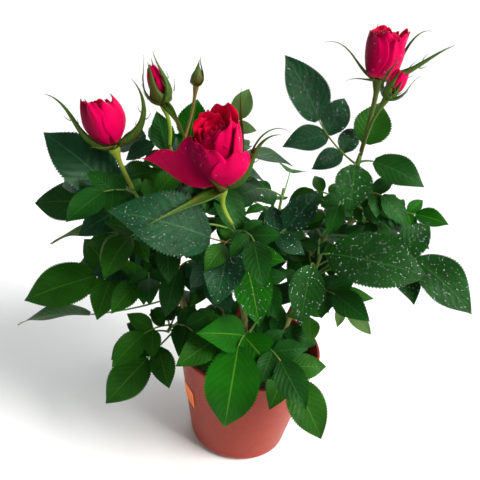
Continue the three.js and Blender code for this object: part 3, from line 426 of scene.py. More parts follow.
def petalMaterial(name, look):
    material, nodes, links, shader = newMaterial(name, look["colour"], look["roughness"])
    place = addNode(nodes, "ShaderNodeTexCoord")
    stretched = addNode(nodes, "ShaderNodeMapping")
    stretched.inputs["Scale"].default_value = (26, 1.6, 1)
    links.new(place.outputs["UV"], stretched.inputs["Vector"])
    streaks = addNode(nodes, "ShaderNodeTexNoise")
    streaks.inputs["Scale"].default_value = 2.2
    streaks.inputs["Detail"].default_value = 4
    links.new(stretched.outputs["Vector"], streaks.inputs["Vector"])
    blotch = useGroup(nodes, links, mottle, Place=place.outputs["Object"], Scale=70, Contrast=0.7)
    parts = addNode(nodes, "ShaderNodeSeparateXYZ")
    links.new(place.outputs["UV"], parts.inputs["Vector"])
    body = mixColour(nodes, links, rangeOf(nodes, links, streaks.outputs["Fac"], 0.35, 0.65, 0, 0.35),
                     (*look["colour"], 1), (*look["streak"], 1))
    body = mixColour(nodes, links, rangeOf(nodes, links, blotch["Blotches"], 0.4, 1, 0, 0.3), body,
                     (*look["deep"], 1))
    # painted shade: a dark crimson is mixed in where the petal's painted-shade mask is set, standing in for
    # the heart's shadow and the side turned from the light
    painted_shade_mask = addNode(nodes, "ShaderNodeAttribute", attribute_name="painted_shade_mask")
    body = mixColour(nodes, links, painted_shade_mask.outputs["Fac"], body, (*look["paintedShade"], 1))
    footed = mixColour(nodes, links, rangeOf(nodes, links, parts.outputs["Y"], 0.0, 0.14, 0.5, 0), body,
                       (*look["foot"], 1))
    rimmed = mixColour(nodes, links, rangeOf(nodes, links, parts.outputs["Y"], 0.9, 1.0, 0, 0.35), footed,
                       (*look["deep"], 1))
    links.new(rimmed, shader.inputs["Base Color"])
    height = sums(nodes, links, "ADD", streaks.outputs["Fac"],
                  sums(nodes, links, "MULTIPLY", blotch["Grain"], 0.5))
    bumpInto(nodes, links, shader, height, 0.18, 0.0006)
    shader.inputs["Specular IOR Level"].default_value = 0.14
    shader.inputs["Specular Tint"].default_value = (1, 0.08, 0.3, 1)
    shader.inputs["Subsurface Weight"].default_value = 0.12
    shader.inputs["Subsurface Radius"].default_value = (0.004, 0.001, 0.001)
    return material


# Each look's dusk colour is painted shade: the dark crimson put on where a petal lies in shadow.
petalLooks = {
    "petal_outside": {"colour": (0.56, 0.0, 0.065), "streak": (0.38, 0.0, 0.036), "deep": (0.26, 0.0, 0.024),
                      "paintedShade": (0.14, 0.0, 0.02), "foot": (0.5, 0.07, 0.06), "roughness": 0.55},
    "petal_inside": {"colour": (0.64, 0.0, 0.032), "streak": (0.50, 0.0, 0.022), "deep": (0.32, 0.0, 0.014),
                     "paintedShade": (0.16, 0.0, 0.01), "foot": (0.4, 0.02, 0.02), "roughness": 0.55},
}
petalMaterials = [petalMaterial(name, look) for name, look in petalLooks.items()]


def potMaterial():
    look = {"colour": (0.245, 0.027, 0.014), "worn": (0.29, 0.04, 0.023), "deep": (0.18, 0.022, 0.013)}
    material, nodes, links, shader = newMaterial("terracotta_plastic", look["colour"], 0.42)
    place = addNode(nodes, "ShaderNodeTexCoord")
    blotch = useGroup(nodes, links, mottle, Place=place.outputs["Object"], Scale=18, Contrast=0.5)
    speck = useGroup(nodes, links, mottle, Place=place.outputs["Object"], Scale=130, Contrast=1.2)
    tone = mixColour(nodes, links, sums(nodes, links, "MULTIPLY", blotch["Blotches"], 0.6),
                     (*look["colour"], 1),
                     (*look["worn"], 1))
    dusty = mixColour(nodes, links, rangeOf(nodes, links, speck["Blotches"], 0.75, 1, 0, 0.3), tone,
                      (*look["deep"], 1))
    links.new(dusty, shader.inputs["Base Color"])
    links.new(rangeOf(nodes, links, speck["Grain"], 0.3, 0.7, 0.36, 0.5), shader.inputs["Roughness"])
    bumpInto(nodes, links, shader, speck["Grain"], 0.12, 0.0004)
    shader.inputs["Specular IOR Level"].default_value = 0.3
    shader.inputs["Specular Tint"].default_value = (1, 0.5, 0.4, 1)
    return material


def plainMaterial(name, colour, deep, roughness, scale, bump):
    material, nodes, links, shader = newMaterial(name, colour, roughness)
    place = addNode(nodes, "ShaderNodeTexCoord")
    blotch = useGroup(nodes, links, mottle, Place=place.outputs["Object"], Scale=scale, Contrast=0.8)
    links.new(mixColour(nodes, links, blotch["Blotches"], (*deep, 1), (*colour, 1)),
              shader.inputs["Base Color"])
    bumpInto(nodes, links, shader, blotch["Grain"], bump, 0.001)
    return material


def waterMaterial():  # clear, with the light caught on its dome
    look = {"roughness": 0.04, "index": 1.5, "tint": (0.93, 0.97, 0.95), "glint": 0.15}
    material, nodes, links, shader = newMaterial("water", (1, 1, 1), look["roughness"])
    nodes.remove(shader)
    clear = addNode(nodes, "ShaderNodeBsdfTransparent")
    clear.inputs["Color"].default_value = (*look["tint"], 1)
    gloss = addNode(nodes, "ShaderNodeBsdfGlossy")
    gloss.inputs["Roughness"].default_value = look["roughness"]
    place = addNode(nodes, "ShaderNodeTexCoord")
    ripple = useGroup(nodes, links, mottle, Place=place.outputs["Object"], Scale=400, Contrast=0.5)
    bumpInto(nodes, links, gloss, ripple["Blotches"], 0.05, 0.0002)
    edge = addNode(nodes, "ShaderNodeFresnel")
    edge.inputs["IOR"].default_value = look["index"]
    both = addNode(nodes, "ShaderNodeMixShader")
    links.new(sums(nodes, links, "ADD", edge.outputs["Fac"], look["glint"]), both.inputs["Fac"])
    links.new(clear.outputs["BSDF"], both.inputs[1])
    links.new(gloss.outputs["BSDF"], both.inputs[2])
    output = next(node for node in nodes if node.type == "OUTPUT_MATERIAL")
    links.new(both.outputs["Shader"], output.inputs["Surface"])
    return material


potFinish = potMaterial()
compostFinish = plainMaterial("damp_compost", (0.035, 0.017, 0.011), (0.012, 0.006, 0.004), 0.9, 180, 0.9)
crumbFinish = plainMaterial("compost_crumb", (0.06, 0.026, 0.014), (0.015, 0.008, 0.005), 0.85, 300, 0.8)
labelFinish = plainMaterial("orange_label", (0.93, 0.19, 0.004), (0.85, 0.15, 0.003), 0.45, 90, 0.08)
waterFinish = waterMaterial()
print("materials made")


# camera, light and floor
cameraView = {"aim": (-18.5, 0, 188), "distance": 464, "elevation": 26, "roll": 7.2, "lens": 45}
sunPlan = {"from": (620, -230, 520), "strength": 4.3, "angle": 35, "colour": (1, 0.985, 0.95)}
lampPlan = [
    {"name": "window", "from": (480, -330, 420), "size": 260, "power": 1.6, "colour": (1, 1, 1)},
    {"name": "skylight", "from": (-60, 420, 620), "size": 420, "power": 2.2, "colour": (0.95, 0.98, 1)},
    {"name": "fill", "from": (-520, -420, 360), "size": 500, "power": 0.25, "colour": (1, 1, 1)},
]
floorLook = {"size": 60000, "colour": (0.95, 0.95, 0.95), "worldColour": (0.98, 1, 1), "worldStrength": 0.27,
             "horizonStrength": 1}


def setScene():
    aim = Vector(cameraView["aim"])
    lean = math.radians(cameraView["elevation"])
    back = Vector((0, -math.cos(lean), math.sin(lean)))
    lens = bpy.data.cameras.new("camera")
    lens.lens = cameraView["lens"]
    lens.sensor_width = 36
    lens.clip_start, lens.clip_end = 0.01, 100
    camera = bpy.data.objects.new("camera", lens)
    bpy.context.scene.collection.objects.link(camera)
    turned = back.to_track_quat("Z", "Y").to_matrix().to_4x4() @ Matrix.Rotation(
        math.radians(cameraView["roll"]), 4, "Z")
    camera.matrix_world = Matrix.Translation((aim + back * cameraView["distance"]) * mm) @ turned
    bpy.context.scene.camera = camera
    sun = bpy.data.lights.new("sun", "SUN")
    sun.energy = sunPlan["strength"]
    sun.angle = math.radians(sunPlan["angle"])
    sun.color = sunPlan["colour"]
    high = bpy.data.objects.new("sun", sun)
    high.rotation_euler = Vector(sunPlan["from"]).to_track_quat("Z", "Y").to_euler()
    bpy.context.scene.collection.objects.link(high)
    for plan in lampPlan:
        lamp = bpy.data.lights.new(plan["name"], "AREA")
        lamp.size = plan["size"] * mm
        lamp.energy = plan["power"]
        lamp.color = plan["colour"]
        holder = bpy.data.objects.new(plan["name"], lamp)
        holder.location = Vector(plan["from"]) * mm
        holder.rotation_euler = (Vector(plan["from"]) - aim).to_track_quat("Z", "Y").to_euler()
        bpy.context.scene.collection.objects.link(holder)
    world = bpy.data.worlds.new("studio")
    world.use_nodes = True
    backdrop = world.node_tree.nodes["Background"]
    backdrop.inputs["Color"].default_value = (*floorLook["worldColour"], 1)
    nodes, links = world.node_tree.nodes, world.node_tree.links
    parts = addNode(nodes, "ShaderNodeSeparateXYZ")
    links.new(addNode(nodes, "ShaderNodeTexCoord").outputs["Generated"], parts.inputs["Vector"])
    glow = rangeOf(nodes, links, parts.outputs["Z"], 0.06, 0.16, floorLook["horizonStrength"],
                   floorLook["worldStrength"])
    links.new(glow, backdrop.inputs["Strength"])
    bpy.context.scene.world = world
    bpy.context.scene.view_settings.view_transform = "Standard"
    bag = newBag()
    half = floorLook["size"] / 2
    corners = ((-half, -half), (half, -half), (half, half), (-half, half))
    addFaces(bag, [Vector((x, y, -0.2)) for x, y in corners],
             [(0, 1, 2, 3)])
    floorFinish, _, _, shader = newMaterial("pale_floor", floorLook["colour"], 0.9)
    shader.inputs["Specular IOR Level"].default_value = 0.1
    makePiece("floor", bag, [floorFinish])


setScene()
print("camera, light and floor set")


# pot, compost and label
pot = {"rimRadius": 60, "footRadius": 42, "height": 94, "wall": 1.8, "lipWidth": 2.6, "lipHeight": 3,
       "cornerRadius": 7, "floor": 3, "notches": 6, "notchDepth": 2.2, "notchRadius": 7, "steps": 144}
compost = {"level": 83.7, "rings": 26, "steps": 90}
label = {"turn": 210, "width": 17, "top": 62, "height": 18, "thickness": 0.5, "corner": 2, "steps": 12}


def wallRadius(height):
    top = pot["rimRadius"] - (pot["lipWidth"] - pot["wall"])
    return mix(pot["footRadius"], top, (height - pot["cornerRadius"]) / (pot["height"] - pot["cornerRadius"]))


def innerRadius(height):
    return wallRadius(height) - pot["wall"]


def arc(centreRadius, centreHeight, radius, fromTurn, toTurn, steps):
    turns = [math.radians(mix(fromTurn, toTurn, i / steps)) for i in range(steps + 1)]
    return [(centreRadius + radius * math.cos(t), centreHeight + radius * math.sin(t)) for t in turns]


def notchLift(turn, radius):  # how far the foot ring is cut away at a turn
    spacing = 2 * math.pi / pot["notches"]
    nearest = (turn - 1.5 * math.pi + 0.25) % spacing - spacing / 2
    away = abs(nearest) * radius
    if away > pot["notchRadius"] or radius < pot["footRadius"] - pot["cornerRadius"] - 2:
        return 0
    return max(0, pot["notchDepth"] - pot["notchRadius"] + math.sqrt(pot["notchRadius"] ** 2 - away ** 2))


def makePot():
    corner, foot, height = pot["cornerRadius"], pot["footRadius"], pot["height"]
    lip = height - pot["lipHeight"]
    lipRound = 0.8
    profile = [(radius, 0) for radius in (6, 16, 26, 32)]
    profile += arc(foot - corner, corner, corner, -90, 0, 12)
    profile += [(wallRadius(z), z) for z in (14, 26, 38, 50, 62, 74, 84, lip)]
    profile += arc(pot["rimRadius"] - lipRound, lip + 0.4 + lipRound, lipRound, -60, 0, 5)
    profile += arc(pot["rimRadius"] - lipRound, height - lipRound, lipRound, 0, 90, 6)
    profile += arc(pot["rimRadius"] - pot["lipWidth"] + lipRound, height - lipRound, lipRound, 90, 170, 5)
    profile += [(innerRadius(z), z) for z in (90, 80, 60, 40, 20)]
    profile += arc(innerRadius(pot["floor"]) - corner, pot["floor"] + corner, corner, 0, -90, 6)
    profile += [(radius, pot["floor"]) for radius in (20, 6)]
    bag = newBag()
    rings = []
    for radius, z in profile:
        ring = []
        for k in range(pot["steps"]):
            turn = 2 * math.pi * k / pot["steps"]
            lift = notchLift(turn, radius) if z < pot["notchDepth"] else 0
            ring.append(Vector((radius * math.cos(turn), radius * math.sin(turn), max(z, lift))))
        rings.append(ring)
    skin(bag, rings)
    piece = makePiece("pot_shell", bag, [potFinish], sharp=50)
    finishPiece(piece, ["pot"])


def compostHeight(x, y):
    rough = noise.noise(Vector((x, y, 0)) * 0.09) * 1.4 + noise.noise(Vector((x, y, 7)) * 0.35) * 0.7
    return compost["level"] + rough - 0.8


def makeCompost():
    bag = newBag()
    edge = innerRadius(compost["level"]) - 0.4
    rings = []
    for z, radius in ((5, 30), (12, innerRadius(12) - 0.5), (compost["level"] - 3, innerRadius(80) - 0.5)):
        rings.append([Vector((radius * math.cos(t), radius * math.sin(t), z))
                      for t in (2 * math.pi * k / compost["steps"] for k in range(compost["steps"]))])
    for i in range(compost["rings"], 0, -1):
        radius = edge * i / compost["rings"]
        ring = []
        for k in range(compost["steps"]):
            turn = 2 * math.pi * k / compost["steps"]
            x, y = radius * math.cos(turn), radius * math.sin(turn)
            ring.append(Vector((x, y, compostHeight(x, y))))
        rings.append(ring)
    skin(bag, rings)
    piece = makePiece("compost_bed", bag, [compostFinish])
    crumbs = scatter("compost_crumbs", piece, "crumb", crumbFinish,
                     {"Density": 90000, "Smallest": 0.0004, "Largest": 0.0017, "Seed": 5,
                      "Lowest": (compost["level"] - 3) * mm})
    finishPiece(piece, ["compost"])
    finishPiece(crumbs, ["compost"])


def makeLabel():
    bag = newBag()
    bottom = label["top"] - label["height"]
    corner = label["corner"]
    outline = []
    for cx, cy, start in ((label["width"] - corner, corner, -90),
                          (label["width"] - corner, label["height"] - corner, 0),
                          (corner, label["height"] - corner, 90), (corner, corner, 180)):
        for i in range(5):
            turn = math.radians(start + 22.5 * i)
            outline.append((cx + corner * math.cos(turn), cy + corner * math.sin(turn)))
    rings = []
    for out, shrink in ((0.3, 1.0), (0.7, 1.0), (0.8, 0.985)):
        ring = []
        for x, y in outline:
            x = label["width"] / 2 + (x - label["width"] / 2) * shrink
            y = label["height"] / 2 + (y - label["height"] / 2) * shrink
            z = bottom + y
            turn = math.radians(label["turn"]) + (x - label["width"] / 2) / wallRadius(bottom)
            radius = wallRadius(z) + out
            ring.append(Vector((radius * math.cos(turn), radius * math.sin(turn), z)))
        rings.append(ring)
    first = len(rings[0])
    corners = [corner for ring in rings for corner in ring]
    faces = []
    for i in range(len(rings) - 1):
        for k in range(first):
            a, b = i * first + k, i * first + (k + 1) % first
            faces.append((a, b, b + first, a + first))
    half = first // 2
    # strips across, so that the faces follow the wall
    for level, flip in ((0, True), (len(rings) - 1, False)):
        start = level * first
        for k in range(half - 1):
            quad = (start + k, start + k + 1, start + first - 2 - k, start + first - 1 - k)
            faces.append(tuple(reversed(quad)) if flip else quad)
    addFaces(bag, corners, faces)
    piece = makePiece("blank_label", bag, [labelFinish], sharp=40)
    finishPiece(piece, ["label"])


# scattering with Geometry Nodes: crumbs, drops and prickles
def scatterTree(kind, material):
    tree = bpy.data.node_groups.new(f"scatter_{kind}_{material.name}", "GeometryNodeTree")
    face = tree.interface.new_socket
    face("Geometry", in_out="INPUT", socket_type="NodeSocketGeometry")
    for name, socketType in (("Density", "NodeSocketFloat"), ("Smallest", "NodeSocketFloat"),
                             ("Largest", "NodeSocketFloat"), ("Lowest", "NodeSocketFloat"),
                             ("Seed", "NodeSocketInt")):
        face(name, in_out="INPUT", socket_type=socketType)
    face("Geometry", in_out="OUTPUT", socket_type="NodeSocketGeometry")
    nodes, links = tree.nodes, tree.links
    given, result = nodes.new("NodeGroupInput"), nodes.new("NodeGroupOutput")
    spots = nodes.new("GeometryNodeDistributePointsOnFaces")
    place = nodes.new("GeometryNodeInputPosition")
    parts = nodes.new("ShaderNodeSeparateXYZ")
    above = addNode(nodes, "FunctionNodeCompare", data_type="FLOAT", operation="GREATER_THAN")
    links.new(place.outputs["Position"], parts.inputs["Vector"])
    links.new(parts.outputs["Z"], above.inputs[0])
    links.new(given.outputs["Lowest"], above.inputs[1])
    links.new(given.outputs["Geometry"], spots.inputs["Mesh"])
    links.new(above.outputs["Result"], spots.inputs["Selection"])
    links.new(given.outputs["Density"], spots.inputs["Density"])
    links.new(given.outputs["Seed"], spots.inputs["Seed"])
    sizes = addNode(nodes, "FunctionNodeRandomValue", data_type="FLOAT")
    links.new(given.outputs["Smallest"], sizes.inputs[2])
    links.new(given.outputs["Largest"], sizes.inputs[3])
    links.new(given.outputs["Seed"], sizes.inputs["Seed"])
    skewed = addNode(nodes, "FunctionNodeRandomValue", data_type="FLOAT_VECTOR")
    low, high = {"crumb": ((0.5, 0.5, 0.4), (1.2, 1.2, 1.0)), "drop": ((0.9, 0.9, 0.5), (1.1, 1.1, 0.75)),
                 "prickle": ((1, 1, 1), (1, 1, 1))}[kind]
    skewed.inputs[0].default_value, skewed.inputs[1].default_value = low, high
    sized = addNode(nodes, "ShaderNodeVectorMath", operation="SCALE")
    links.new(skewed.outputs[0], sized.inputs[0])
    links.new(sizes.outputs[1], sized.inputs["Scale"])
    if kind == "crumb":
        shape = nodes.new("GeometryNodeMeshIcoSphere")
        shape.inputs["Subdivisions"].default_value = 1
        turned = addNode(nodes, "FunctionNodeRandomValue", data_type="FLOAT_VECTOR")
        turned.inputs[1].default_value = (6.28, 6.28, 6.28)
        turn = turned.outputs[0]
    elif kind == "drop":
        shape = nodes.new("GeometryNodeMeshUVSphere")
        shape.inputs["Segments"].default_value = 8
        shape.inputs["Rings"].default_value = 4
        turn = spots.outputs["Rotation"]
    else:
        shape = nodes.new("GeometryNodeMeshCone")
        shape.inputs["Vertices"].default_value = 6
        shape.inputs["Radius Top"].default_value = 0.02
        shape.inputs["Radius Bottom"].default_value = 0.45
        shape.inputs["Depth"].default_value = 1.6
        turn = spots.outputs["Rotation"]
    placed = nodes.new("GeometryNodeInstanceOnPoints")
    links.new(spots.outputs["Points"], placed.inputs["Points"])
    links.new(shape.outputs["Mesh"], placed.inputs["Instance"])
    links.new(turn, placed.inputs["Rotation"])
    links.new(sized.outputs["Vector"], placed.inputs["Scale"])
    real = nodes.new("GeometryNodeRealizeInstances")
    smooth = nodes.new("GeometryNodeSetShadeSmooth")
    smooth.inputs["Shade Smooth"].default_value = kind == "drop"
    painted = nodes.new("GeometryNodeSetMaterial")
    painted.inputs["Material"].default_value = material
    links.new(placed.outputs["Instances"], real.inputs["Geometry"])
    links.new(real.outputs["Geometry"], smooth.inputs["Geometry"])
    links.new(smooth.outputs["Geometry"], painted.inputs["Geometry"])
    links.new(painted.outputs["Geometry"], result.inputs["Geometry"])
    return tree


def scatter(name, ground, kind, material, values):
    holder = bpy.data.objects.new(name, ground.data.copy())
    bpy.context.scene.collection.objects.link(holder)
    modifier = holder.modifiers.new("scatter", "NODES")
    modifier.node_group = scatterTree(kind, material)
    for item in modifier.node_group.interface.items_tree:
        if item.in_out == "INPUT" and item.name in values:
            modifier[item.identifier] = values[item.name]
    bakeModifiers(holder)
    return holder


makePot()
makeCompost()
makeLabel()
print("pot, compost and label made")


# the growth rule's named sizes
leafShape = {"broad": 0.6, "arch": 0.05, "fold": 0.2, "stalkFrom": 0.85, "stalkTo": 0.55,
             "sagTip": 0.08, "ripple": 0.022, "toothOut": 1.045, "toothIn": 0.962, "clearance": 1.0}
sidePairs = [{"back": 0.24, "size": 0.68, "angle": 60}, {"back": 0.56, "size": 0.5, "angle": 70}]
lightFrom = {"front": Vector((0.05, -0.72, 0.69)).normalized(), "back": Vector((0, -0.2, 0.98)).normalized()}
shootRadius = (1.9, 1.3)
turnPerLeaf = 144
secondTries = (0, 45, -45, 90)
canes = {
    "cane_left": {"foot": (-40, 4, 84), "tip": (-73, -20, 177), "bow": (4, -8, -6), "radius": (3.2, 2.3)},
    "cane_buds": {"foot": (-20, 16, 84), "tip": (-58, 12, 190), "bow": (4, 4, -5), "radius": (2.9, 2.1)},
    "cane_centre": {"foot": (-4, -6, 84), "tip": (-12, -34, 165), "bow": (2, -4, -4), "radius": (3.1, 2.3)},
    "cane_right": {"foot": (18, 10, 84), "tip": (40, -8, 192), "bow": (2, -6, 0), "radius": (3.2, 2.2)},
    "cane_back_left": {"foot": (-26, 26, 84), "tip": (-52, 56, 160), "bow": (3, -6, 4), "radius": (2.8, 2.1)},
    "cane_back": {"foot": (2, 32, 84), "tip": (10, 62, 156), "bow": (0, -6, 4), "radius": (2.9, 2.1)},
    "cane_back_right": {"foot": (28, 24, 84), "tip": (58, 50, 150), "bow": (-4, -4, 4), "radius": (2.8, 2.1)},
}

spur = {"parent": "cane_left", "at": 0.62, "tip": (-84, -6, 190), "bow": (3, 0, -3), "radius": (2.1, 1.9)}

shoots = {
    "foliage_left_top": {
        "parent": "cane_left", "at": 1, "tip": (-99, -20, 227), "bow": (3, 0, -2), "seed": 11,
        "leaves": [
            {"at": 0.62, "head": (200, 170), "rise": (40, 35, 33), "reach": 32, "blade": 64, "pairs": 1,
             "tint": "blue_sheen"},
            {"at": 0.45, "head": (145, 170), "rise": (20, -5, -7), "reach": 48, "blade": 58, "pairs": 0,
             "tint": "dark"},
            {"at": 0.3, "head": (205, 190), "rise": (20, -5, -12), "reach": 40, "blade": 40, "pairs": 1,
             "tilt": 50, "tint": "pale"},
            {"at": 0.8, "head": (20, 50), "rise": (30, 35, 40), "reach": 14, "blade": 28, "pairs": 1,
             "tint": "mid"},
        ],
        "grown": {"count": 4, "from": 0.2, "to": 0.95, "firstHead": 100, "reach": 34, "blade": 36},
    },
    "foliage_left": {
        "parent": "cane_left", "at": 0.52, "tip": (-86, -14, 156), "bow": (-4, 0, 4), "seed": 12,
        "leaves": [
            {"at": 0.95, "head": (195, 200), "rise": (15, -15, -18), "reach": 40, "blade": 56, "pairs": 1,
             "tint": "mid"},
            {"at": 0.15, "head": (220, 190), "rise": (-5, -8, -7), "reach": 64, "blade": 54, "pairs": 0,
             "tilt": 60, "tint": "mid"},
        ],
        "grown": {"count": 4, "from": 0.3, "to": 0.9, "firstHead": 120, "reach": 30, "blade": 34},
    },
    "foliage_left_low": {
        "parent": "cane_left", "at": 0.26, "tip": (-66, -26, 112), "bow": (-3, 0, 4), "seed": 13,
        "leaves": [
            {"at": 0.3, "head": (255, 215), "rise": (0, -45, -45), "reach": 38, "blade": 48, "pairs": 1,
             "tint": "mid"},
            {"at": 0.95, "head": (185, 205), "rise": (10, -40, -35), "reach": 24, "blade": 28, "pairs": 1,
             "tint": "dark"},
        ],
        "grown": {"count": 3, "from": 0.4, "to": 0.9, "firstHead": 160, "reach": 30, "blade": 32},
    },
    "foliage_buds": {
        "parent": "cane_buds", "at": 1, "tip": (-79, 12, 252), "bow": (2, 0, -2), "seed": 14,
        "leaves": [
            {"at": 0.7, "head": (85, 85), "rise": (0, 50, 67), "reach": 38, "blade": 34, "pairs": 1,
             "broad": 0.75, "tint": "bright"},
            {"at": 0.75, "head": (180, 140), "rise": (35, 65, 65), "reach": 16, "blade": 30, "pairs": 1,
             "tint": "dark"},
            {"at": 0.6, "head": (20, 65), "rise": (35, 48, 56), "reach": 66, "blade": 28, "pairs": 1,
             "tint": "pale"},
        ],
        "grown": {"count": 4, "from": 0.1, "to": 0.75, "firstHead": 40, "reach": 36, "blade": 36},
    },
    "foliage_inner": {
        "parent": "cane_buds", "at": 0.45, "tip": (-54, -8, 172), "bow": (0, 0, 0), "seed": 25,
        "leaves": [
            {"at": 0.9, "head": (230, 250), "rise": (20, -20, -60), "reach": 20, "blade": 38, "pairs": 1,
             "broad": 0.5, "tint": "dark"},
        ],
        "grown": {"count": 4, "from": 0.2, "to": 0.98, "firstHead": 220, "reach": 30, "blade": 34},
    },
    "foliage_centre": {
        "parent": "cane_centre", "at": 1, "tip": (-25, -40, 218), "bow": (3, 0, 0), "seed": 15,
        "leaves": [
            {"at": 0.72, "head": (255, 200), "rise": (25, 20, 21), "reach": 32, "blade": 70, "pairs": 1,
             "tint": "blue_sheen", "wet": True},
            {"at": 0.45, "head": (255, 295), "rise": (60, -5, -47), "reach": 29, "blade": 44, "pairs": 1,
             "tint": "bright", "wet": True},
            {"at": 0.6, "head": (10, 25), "rise": (20, 40, 50), "reach": 36, "blade": 36, "pairs": 1,
             "tint": "blue_sheen", "wet": True},
        ],
        "grown": {"count": 4, "from": 0.1, "to": 0.9, "firstHead": 150, "reach": 34, "blade": 36},
    },
    "foliage_front": {
        "parent": "cane_centre", "at": 0.36, "tip": (-3, -50, 140), "bow": (0, -3, -3), "seed": 16,
        "leaves": [
            {"at": 0.8, "head": (250, 260), "rise": (50, -10, -72), "reach": 31, "blade": 64, "pairs": 1,
             "tint": "bright", "pairTurn": -28},
            {"at": 0.2, "head": (330, 320), "rise": (20, -40, -45), "reach": 50, "blade": 48, "pairs": 1,
             "tint": "mid"},
        ],
        "grown": {"count": 5, "from": 0.2, "to": 0.95, "firstHead": 200, "reach": 34, "blade": 34},
    },
    "foliage_right": {
        "parent": "cane_right", "at": 0.68, "tip": (40, -32, 200), "bow": (0, -4, -4), "seed": 17,
        "leaves": [
            {"at": 0.95, "head": (235, 345), "rise": (50, 20, 2), "reach": 18, "blade": 68, "pairs": 0,
             "tint": "dark", "wet": True},
            {"at": 0.5, "head": (360, 330), "rise": (45, 10, -25), "reach": 79, "blade": 52, "pairs": 1,
             "tint": "dark", "wet": True},
            {"at": 0.7, "head": (240, 260), "rise": (70, 0, -55), "reach": 24, "blade": 42, "pairs": 0,
             "tint": "dark", "wet": True},
        ],
        "grown": {"count": 3, "from": 0.3, "to": 0.9, "firstHead": 310, "reach": 34, "blade": 36},
    },
    "foliage_right_low": {
        "parent": "cane_right", "at": 0.3, "tip": (64, 0, 146), "bow": (-2, 0, 3), "seed": 18,
        "leaves": [
            {"at": 0.9, "head": (30, 350), "rise": (45, 10, 10), "reach": 12, "blade": 34, "pairs": 1,
             "broad": 0.4, "tint": "mid"},
            {"at": 0.97, "head": (320, 335), "rise": (-15, -25, -30), "reach": 14, "blade": 26, "pairs": 1,
             "broad": 0.5, "tint": "pale"},
        ],
        "grown": {"count": 4, "from": 0.2, "to": 0.95, "firstHead": 330, "reach": 28, "blade": 28},
    },
    "foliage_right_mid": {
        "parent": "foliage_right_top", "at": 0.25, "tip": (68, -2, 228), "bow": (2, 0, -3), "seed": 19,
        "leaves": [
            {"at": 0.9, "head": (350, 340), "rise": (20, 0, 0), "reach": 40, "blade": 24, "pairs": 2,
             "tint": "bright"},
        ],
        "grown": {"count": 3, "from": 0.3, "to": 0.95, "firstHead": 20, "reach": 24, "blade": 24},
    },
    "foliage_right_top": {
        "parent": "cane_right", "at": 1, "tip": (57, -12, 272), "bow": (3, 0, -3), "seed": 20,
        "leaves": [
            {"at": 0.9, "head": (150, 170), "rise": (20, 55, 56), "reach": 42, "blade": 50, "pairs": 2,
             "tint": "blue_sheen", "wet": True},
            {"at": 0.97, "head": (80, 60), "rise": (10, 40, 68), "reach": 15, "blade": 31, "pairs": 0,
             "broad": 0.85, "tint": "mid"},
            {"at": 0.86, "head": (240, 270), "rise": (50, 0, -58), "reach": 23, "blade": 32, "pairs": 0,
             "broad": 0.8, "tint": "dark", "wet": True},
            {"at": 0.92, "head": (320, 340), "rise": (40, 0, -12), "reach": 12, "blade": 38, "pairs": 0,
             "tint": "dark"},
        ],
        "grown": {"count": 3, "from": 0.1, "to": 0.6, "firstHead": 60, "reach": 30, "blade": 30},
    },
    "foliage_back_left": {
        "parent": "cane_back_left", "at": 1, "tip": (-68, 76, 222), "bow": (0, 0, 0), "seed": 21,
        "leaves": (),
        "grown": {"count": 8, "from": 0.05, "to": 0.98, "firstHead": 130, "reach": 42, "blade": 42},
    },
    "foliage_back": {
        "parent": "cane_back", "at": 1, "tip": (14, 80, 205), "bow": (0, 0, 0), "seed": 22,
        "leaves": (),
        "grown": {"count": 8, "from": 0.05, "to": 0.98, "firstHead": 80, "reach": 42, "blade": 42},
    },
    "foliage_back_right": {
        "parent": "cane_back_right", "at": 1, "tip": (78, 66, 190), "bow": (0, 0, 0), "seed": 23,
        "leaves": (),
        "grown": {"count": 8, "from": 0.05, "to": 0.98, "firstHead": 40, "reach": 42, "blade": 42},
    },
    "foliage_back_low": {
        "parent": "cane_back", "at": 0.35, "tip": (-6, 66, 122), "bow": (0, 0, 4), "seed": 24,
        "leaves": (),
        "grown": {"count": 6, "from": 0.1, "to": 0.98, "firstHead": 60, "reach": 36, "blade": 38},
    },
}

# Open places in the crown, where no leaf is kept: middle and radius.
openings = [((38, 95, 211), 49.5), ((66, -38, 135), 24), ((70, -46, 190), 16), ((86, 26, 147), 18)]

nodeTips = {}
for nodeName in shoots:
    places = [vertex.co / mm for vertex in frame["nodes"][nodeName].data.vertices]
    nodeTips[nodeName] = KDTree(len(places))
    for k, place in enumerate(places):
        nodeTips[nodeName].insert(place, k)
    nodeTips[nodeName].balance()


sameTip = 0.4


def foundRoom(nodeName, leaflet):  # whether the frame has this leaflet
    tip = leaflet["root"] + leaflet["forward"] * leaflet["length"]
    return nodeTips[nodeName].find(tip)[2] < sameTip and not inOpening(leaflet)


def inOpening(leaflet):
    middle = leaflet["root"] + leaflet["forward"] * leaflet["length"] * 0.5
    return any((middle - Vector(place)).length < radius for place, radius in openings)


def makeLimb(start, tip, bow, radii):
    middle = (start + tip) * 0.5 + Vector(bow) * 2

    def pointAt(t):
        return start * (1 - t) ** 2 + middle * (2 * t * (1 - t)) + tip * t * t

    def wayAt(t):
        return (pointAt(min(1, t + 0.0001)) - pointAt(max(0, t - 0.0001))).normalized()
    return {"pointAt": pointAt, "wayAt": wayAt, "radii": radii}


def layLimb(plan, radii, parent=None):
    gap = 0.3
    end = Vector(plan["tip"])
    if not parent:
        return makeLimb(Vector(plan["foot"]), end, plan["bow"], radii)
    start = parent["pointAt"](plan["at"])
    away = makeLimb(start, end, plan["bow"], radii)["wayAt"](0)
    sine = min(1, parent["wayAt"](plan["at"]).cross(away).length)
    cosine = math.sqrt(1 - sine * sine)
    parentRadius = mix(parent["radii"][0], parent["radii"][1], plan["at"])
    if plan["at"] > 0.999:
        clear = gap + 2 * radii[0] * sine
    else:
        clear = (parentRadius + 2 * gap + radii[0] * cosine) / sine
    return makeLimb(start + away * clear, end, plan["bow"], radii)


